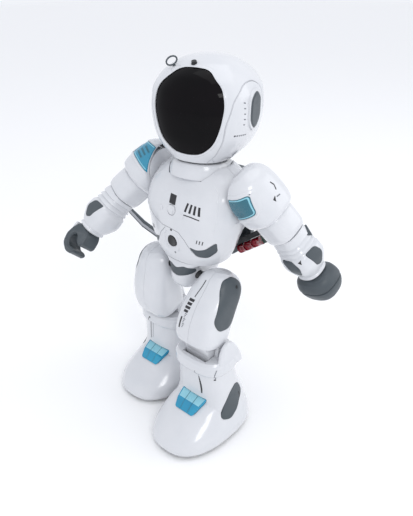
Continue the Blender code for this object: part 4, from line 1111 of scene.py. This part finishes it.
def longest_run(rows):
    """The longest stretch of rows in which every point landed on the piece."""
    best, current = [], []
    for row in rows:
        current = [] if any(p is None for p in row) else current + [row]
        best = current if len(current) > len(best) else best
    return best


def edge_loop(grid):
    """The vertices round the rim of a grid, in order."""
    last = len(grid) - 1
    loop = list(grid[0])
    loop += [row[-1] for row in grid[1:]]
    loop += list(reversed(grid[last]))[1:]
    loop += [row[0] for row in reversed(grid[1:last])]
    return loop


def fine_path(points, step, closed=False):
    """Adds points along a path so that none lie much further apart than step."""
    fine = []
    pairs = list(zip(points, points[1:] + points[:1])) if closed else list(zip(points, points[1:]))
    for a, b in pairs:
        count = max(1, int((b - a).length / step))
        fine += [a.lerp(b, i / count) for i in range(count)]
    if not closed:
        fine.append(points[-1])
    return fine


build()
SHAPES, FRAMES = finish_pieces()


def print_chest():
    """Window, stripes, seams, ridges and small buttons on the chest."""
    chest = SurfaceMarker("chest_front_shell", "stance_frame", "XZ")
    chest.patch("chest_window", ((-5.0, 227.2), (2.4, 226.6), (3.4, 219.2), (-4.0, 219.8)), height=0.12)
    for index in range(4):
        x = 15.6 + index * 3.5
        lean = (index - 1.5) * 1.0
        top, drop = x + lean * 0.2, 0.5 * index
        chest.patch(f"chest_stripe_{index}", ((top, 223.5 - drop), (x + 1.9 + lean * 0.2, 223.2 - drop),
                                              (x + 2.1 + lean, 216.2 - drop), (x + lean, 216.4 - drop)))
    chest.stroke("chest_underline", ((14.2, 213.6), (22, 213.0), (29.4, 211.4)), 0.9)
    for side, word in SIDES:
        for index in range(3):
            x, z = 26.6 + index * 2.3, 190.6 - index * 0.4
            chest.stroke(f"{word}_belly_tick_{index}", ((side * x, z + 1.6), (side * (x - 1.0), z - 1.9)),
                         0.75)
    chest.disc("belly_dot", (-0.6, 195.6), 1.1)
    chest.disc("belly_dot_below", (1.8, 173.6), 1.0, SOFT_INK)
    for index, (x, z) in enumerate(((-12.6, 213.8), (12.4, 211.8))):
        chest.disc(f"small_button_{index}", (x, z), 2.1, WHITE, 0.7)
    belly = ((-33, 207), (-22, 201.5), (-11.5, 197.8), (-2, 197.2), (8, 195.6), (14.5, 189.5), (19, 182),
             (21, 178.6))
    chest.stroke("belly_seam", belly, 0.55, SEAM, 0.05)
    chest.stroke("belly_seam_right", ((-8, 196.4), (-14.5, 189.5), (-19, 182), (-21, 178.6)), 0.55, SEAM,
                 0.05)
    for side, word in SIDES:
        ridge = ((side * 30.5, 238), (side * 37.5, 232), (side * 41, 222), (side * 41.5, 210), (side * 38.5,
            199))
        chest.stroke(word + "_chest_ridge", ridge, 1.3, WHITE, (0.02, 0.4, 0.02))
    for tag, x in (("inner", -8.4), ("outer", 8.4)):
        chest.stroke(tag + "_boss_edge", ((x * 0.75, 193.2), (x, 190.5), (x, 180.0), (x * 0.7, 175.6)), 1.2,
                     WHITE,
                     (0.02, 0.6, 0.02))
    ring = [(6.0 * cos(2 * pi * i / 40), 185 + 6.0 * sin(2 * pi * i / 40)) for i in range(40)]
    chest.stroke("sensor_bezel", ring, 1.0, GREY, 0.5, closed=True)


def print_head():
    """Marks and ticks on the left cheek, cheek seams and the raised lip round the visor."""
    cheek = SurfaceMarker("left_cheek_panel", "head_axis", "YZ", 1)
    for index in range(6):
        y = -20.3 + index * 2.4
        cheek.patch(f"cheek_mark_{index}", ((y, 31.9 - index * 0.2), (y + 1.5, 31.9 - index * 0.2),
                                         (y + 1.3, 30.7 - index * 0.2), (y - 0.2, 30.7 - index * 0.2)),
                    INK if index == 0 else SOFT_INK)


    for index in range(5):
        z = 57.0 - index * 4.3
        cheek.stroke(f"ear_tick_{index}", ((-13.6, z), (-11.6, z - 0.5)), 0.9, SOFT_INK)
    outline = [(p.x, p.y) for p in grown_outline(rounded_outline(CHEEK, 6, 4), 0.7)]
    start = max(range(len(outline)), key=lambda i: outline[i][0])
    for side, word in SIDES:
        shell = SurfaceMarker("helmet_front_shell", "head_axis", "YZ", side)
        shell.stroke(word + "_cheek_seam", outline[start:] + outline[:start], 0.45, PALE_SEAM,
                     0.04)
    brow = SurfaceMarker("helmet_front_shell", "head_axis", "XZ")
    edge = [(p.x, p.y) for p in grown_outline(symmetric_outline(VISOR_HALF, 9), 1.5)]
    brow.stroke("visor_lip", edge, 1.5, WHITE, (0.05, 0.45, 0.05), closed=True)


def print_arms():
    """Marks on the left shoulder and forearm."""
    shoulder = SurfaceMarker("left_shoulder_shell", "left_arm_frame", "YZ", 1)
    shoulder.stroke("shoulder_arc", ((6.5, 3.5), (7.8, -0.5), (6.2, -4.6)), 1.1)
    shoulder.patch("shoulder_arrow", ((-2.6, -8.3), (1.2, -7.0), (1.4, -7.4), (-1.2, -11.2)))
    shoulder.stroke("shoulder_bar", ((2.2, -8.8), (6.4, -9.6)), 1.0, SOFT_INK)
    forearm = SurfaceMarker("left_forearm_shell", "left_forearm_frame", "XZ")
    forearm.patch("forearm_arrow", ((9.8, -18.0), (12.4, -16.6), (12.2, -20.4), (12.1, -20.6)))


def print_panels():
    """Raised frames and rims of the shoulder panels, and the bars on the right one."""
    SHAPES["right_shoulder_panel"].data.materials[0] = SKY
    for side, word in SIDES:
        shell = SurfaceMarker(word + "_shoulder_shell", word + "_arm_frame", "XZ")
        frame = [(p.x * side, p.y) for p in grown_outline(rounded_outline(SHOULDER_PANEL, 4, 4), 2.1)]
        start = min(range(len(frame)), key=lambda i: frame[i][0] * side)
        shell.stroke(word + "_panel_frame", frame[start:] + frame[:start], 3.0, WHITE,
                     (0.1, 1.0, 0.55))
        panel = SurfaceMarker(word + "_shoulder_panel", word + "_arm_frame", "XZ")
        rim = [(p.x * side, p.y) for p in grown_outline(rounded_outline(SHOULDER_PANEL, 3, 2), -1.1)]
        panel.stroke(word + "_panel_rim", rim, 0.9, PALE_CYAN, 0.1, closed=True)
    label = SurfaceMarker("right_shoulder_panel", "right_arm_frame", "XZ")
    for index in range(3):
        z = 7.5 - index * 4.2
        label.patch(f"label_bar_{index}", ((-5.5 - index, z), (4.5 - index * 0.6, z - 0.6),
                                           (4.0 - index * 0.6, z - 2.4),
                                           (-6.0 - index, z - 1.8)), TEAL, "teal_panel")


def print_and_shade_legs():
    """Lines and bars on the thigh and shins, and painted shade standing for the slots in the ankle pads and
    the screw holes in the thigh pads.
    """
    thigh = SurfaceMarker("left_inner_thigh_shell", "left_hip_axis", "XZ")
    thigh.stroke("thigh_line", ((-3.3, 4.5), (-4.6, -3.0), (-6.2, -11.2)), 0.9)
    for index, (z, width) in enumerate(((-13.2, 6.2), (-16.6, 5.4), (-20.0, 6.2), (-23.4, 5.0))):
        x = -7.4 - 0.14 * (-13 - z)
        thigh.patch(f"thigh_block_{index}", ((x - width / 2, z), (x + width / 2, z + 0.2),
                                           (x + width / 2 - 0.3, z - 2.1), (x - width / 2 - 0.3, z - 2.3)))
    for index in range(9):
        z = -26.4 - index * 1.5
        thigh.patch(f"thigh_text_bar_{index}", ((-9.0, z), (-6.6 - (index % 3) * 0.6, z),
                                                (-6.8 - (index % 3) * 0.6, z - 0.7),
                                              (-9.1, z - 0.7)), SOFT_INK)
    thigh.patch("thigh_foot_bar", ((-12.6, -30.6), (-10.6, -30.2), (-11.3, -40.6), (-13.2, -41.0)))
    shin = SurfaceMarker("left_boot_shell", "left_boot_frame", "XZ")
    shin.stroke("shin_line", ((5.6, 78.0), (7.4, 71.5)), 0.6, SOFT_INK)
    rows = ((7.2, 70.5, 0.8), (8.4, 65.0, 1.7), (9.4, 60.0, 2.0), (9.9, 55.0, 1.9), (9.8, 51.0, 1.5))
    shin.sheet("shin_stripe", [[Vector((x - w / 2, z)), Vector((x, z)), Vector((x + w / 2, z))] for x, z, w in
                               smooth_rows(rows)], INK)
    shin.stroke("shin_thin_line", ((25.0, 83.0), (23.6, 76.0), (22.2, 71.0)), 0.5, SOFT_INK)
    shin.disc("shin_end_dot", (22.0, 70.0), 0.8)
    far = SurfaceMarker("right_boot_shell", "right_boot_frame", "XZ")
    far.stroke("far_shin_line", ((-7.6, 79.0), (-9.2, 66.0), (-10.6, 50.0)), 0.9)
    far.stroke("far_shin_thin", ((-4.4, 76.0), (-5.8, 64.0), (-7.4, 52.0)), 0.5, SOFT_INK)
    far.patch("far_shin_flag", ((-6.4, 81.5), (-4.4, 81.2), (-5.2, 79.4), (-7.0, 79.6)))
    for side, word in SIDES:
        pad = SurfaceMarker(word + "_ankle_pad", word + "_boot_frame", "YZ", side)
        # painted shade: a black stroke stands for the shade inside the ankle slot, which is not cut
        slot_shade_path = ((9.2, 42.5), (10.6, 38.0), (9.6, 33.0), (5.5, 29.6), (-0.5, 28.6))
        pad.stroke(word + "_painted_ankle_slot_shade", slot_shade_path, 1.3, BLACK, height=0.12)
        thigh_pad = SurfaceMarker(word + "_thigh_pad", word + "_hip_axis", "YZ", side)
        # painted shade: a black disc stands for the shade inside the screw hole's recess, which is not cut
        thigh_pad.disc(word + "_painted_screw_hole_shade", (0.6, 3.0), 1.5, BLACK, height=0.1)


def paint_instep_highlight_and_shade():
    """Painted highlight on each blue block's upper facet, and two darker lines of painted shade where grooves
    run down it.
    """
    for side, word in SIDES:
        block = SurfaceMarker(word + "_instep_insert", word + "_boot_frame", "XZ")
        # painted highlight: a pale cyan band where light falls on the block's upper facet
        block.patch(word + "_instep_painted_highlight", ((-13.4, 44.4), (13.4, 44.4), (12.2, 40.6), (-12.2, 40.6)),
                    PALE_CYAN,
                    "blue_metallic", 0.05)
        for index, x in enumerate((-4.4, 4.4)):
            # painted shade: darker teal lines stand in for the shade inside the grooves between the facets,
            # which are not cut
            block.stroke(f"{word}_instep_groove_{index}", ((x * 1.1, 44.6), (x, 34.2)), 0.6, TEAL,
                         0.09)


def print_blade():
    """Light face and short bars on the wing blade."""
    blade = SurfaceMarker("right_wing_blade", "right_wing_frame", "XZ")
    blade.stroke("blade_face", ((-34, -14.2), (-53, -17.6), (-79, -7.6), (-99, 6.6)), 3.4, PALE_SEAM,
                 0.12)
    for index in range(4):
        x, z = -44 - index * 2.6, -16.2
        blade.stroke(f"blade_rib_{index}", ((x, z + 1.9), (x - 0.8, z - 2.2)), 0.8, INK, height=0.22)


def smooth_rows(rows, steps=6):
    """Adds evenly spaced rows between those given."""
    fine = []
    for a, b in zip(rows, rows[1:]):
        fine += [tuple(p + (q - p) * i / steps for p, q in zip(a, b)) for i in range(steps)]
    fine.append(rows[-1])
    return fine


def add_solid(name, body, frame_name, node, paint):
    """A small closed piece given in one of the frames, fixed to the body of a CAD node."""
    bmesh.ops.recalc_face_normals(body, faces=body.faces)
    bmesh.ops.scale(body, vec=(MM, MM, MM), verts=body.verts)
    mesh = bpy.data.meshes.new(name)
    body.to_mesh(mesh)
    body.free()
    mesh.transform(FRAMES[frame_name])
    mesh.materials.append(paint)
    mesh.shade_smooth()
    mesh.set_sharp_from_angle(angle=radians(38))
    made = bpy.data.objects.new(name, mesh)
    PARTS.objects.link(made)
    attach(made, BODY_OF[node])
    return made


KNEE_APRON = ((-15.2, -7.2), (-12, -18), (6, -18), (7.4, -5.8), (0, -8.2))


def add_small_pieces():
    """Apron under each knee block that closes the slot below it, and the left elbow's round cover."""
    apron = [Vector((y, z - THIGH_LENGTH)) for y, z in KNEE_APRON]
    for side, word in SIDES:
        add_solid(word + "_knee_apron", prism_mesh(apron, "YZ", -13.3, 13.3), word + "_hip_axis",
                  word + "_inner_thigh_shell", WHITE)
    outward = Vector((0.62, 0.78, 0.0))
    middle = Vector((0, 0, -5.5))
    cover = cylinder_mesh(middle + outward * 11.0, middle + outward * 17.0, 6.0, 32, 5.2)
    add_solid("left_elbow_cover", cover, "left_forearm_frame", "left_forearm_shell", GREY)


add_small_pieces()
print_chest()
print_head()
print_arms()
print_panels()
print_and_shade_legs()
paint_instep_highlight_and_shade()
print_blade()


# ---- floor, lights and camera ------------------------------------------------------------------------------
FLOOR_HALF_SIZE = 6.0              # metres
WORLD_STRENGTH = 0.95
LIGHTS = (
    # name, place, size in metres, watts, colour
    ("key", (1.05, -0.55, 1.1), (0.42, 0.42), 3.6, (1.0, 0.99, 0.98)),
    ("rim", (1.0, 0.9, 0.7), (0.8, 0.8), 2.2, (1, 1, 1)),
    ("overhead", (0.1, 0.2, 1.5), (1.0, 1.0), 2.6, (1, 1, 1)),
)
LIGHT_TARGET = (0, 0, 0.17)


def build_stage():
    """Plain pale floor."""
    mesh = bpy.data.meshes.new("floor")
    body = bmesh.new()
    bmesh.ops.create_grid(body, x_segments=8, y_segments=8, size=FLOOR_HALF_SIZE)
    body.to_mesh(mesh)
    body.free()
    floor = bpy.data.objects.new("floor", mesh)
    bpy.context.scene.collection.objects.link(floor)
    made, tree, shader = new_shader("floor_paper")
    shader.inputs["Base Color"].default_value = (0.975, 0.975, 0.975, 1)
    shader.inputs["Roughness"].default_value = 0.9
    mesh.materials.append(made)


def area_light(name, place, target, size, power, colour):
    data = bpy.data.lights.new(name, "AREA")
    data.shape = "RECTANGLE"
    data.size, data.size_y = size
    data.energy = power
    data.color = colour
    made = bpy.data.objects.new(name, data)
    made.location = place
    made.rotation_euler = (Vector(target) - Vector(place)).to_track_quat("-Z", "Y").to_euler()
    bpy.context.scene.collection.objects.link(made)


def build_lights():
    """Soft even surroundings and three area lights."""
    world = bpy.data.worlds.new("studio")
    bpy.context.scene.world = world
    world.use_nodes = True
    sky = world.node_tree.nodes["Background"]
    sky.inputs["Color"].default_value = (0.93, 0.95, 1.0, 1)
    sky.inputs["Strength"].default_value = WORLD_STRENGTH
    for name, place, size, power, colour in LIGHTS:
        area_light(name, place, LIGHT_TARGET, size, power, colour)


CAMERA_AZIMUTH, CAMERA_ELEVATION, CAMERA_ROLL = 42.0, 28.0, -0.7
CAMERA_DISTANCE = 530.0
AIM_HEIGHT, AIM_SHIFT = 152.8, 5.6         # the aim point, and how far it moves to the camera's right
FRAME_HEIGHT, FOCAL_LENGTH = 516, 554.4    # both in image rows
SENSOR_HEIGHT = 36.0


def build_camera():
    """The only camera, placed on a sphere round the aim point and rolled a little."""
    azimuth, elevation, roll = (radians(a) for a in (CAMERA_AZIMUTH, CAMERA_ELEVATION, CAMERA_ROLL))
    back = Vector((sin(azimuth) * cos(elevation), -cos(azimuth) * cos(elevation), sin(elevation)))
    right = Vector((cos(azimuth), sin(azimuth), 0))
    up = Vector((-sin(azimuth) * sin(elevation), cos(azimuth) * sin(elevation), cos(elevation)))
    centre = Vector((-MIDDLE_X, -MIDDLE_Y, AIM_HEIGHT)) + right * AIM_SHIFT
    place = (centre + back * CAMERA_DISTANCE) * MM
    turned_right = right * cos(roll) + up * sin(roll)
    turned_up = -right * sin(roll) + up * cos(roll)
    data = bpy.data.cameras.new("camera")
    data.sensor_fit = "VERTICAL"
    data.sensor_height = SENSOR_HEIGHT
    data.lens = SENSOR_HEIGHT * FOCAL_LENGTH / FRAME_HEIGHT
    data.clip_start = 0.02
    camera = bpy.data.objects.new("camera", data)
    rows = Matrix((turned_right, turned_up, back)).transposed().to_4x4()
    camera.matrix_world = Matrix.Translation(place) @ rows
    bpy.context.scene.collection.objects.link(camera)
    bpy.context.scene.camera = camera


build_stage()
build_lights()
build_camera()
bpy.context.scene.view_settings.view_transform = "Standard"
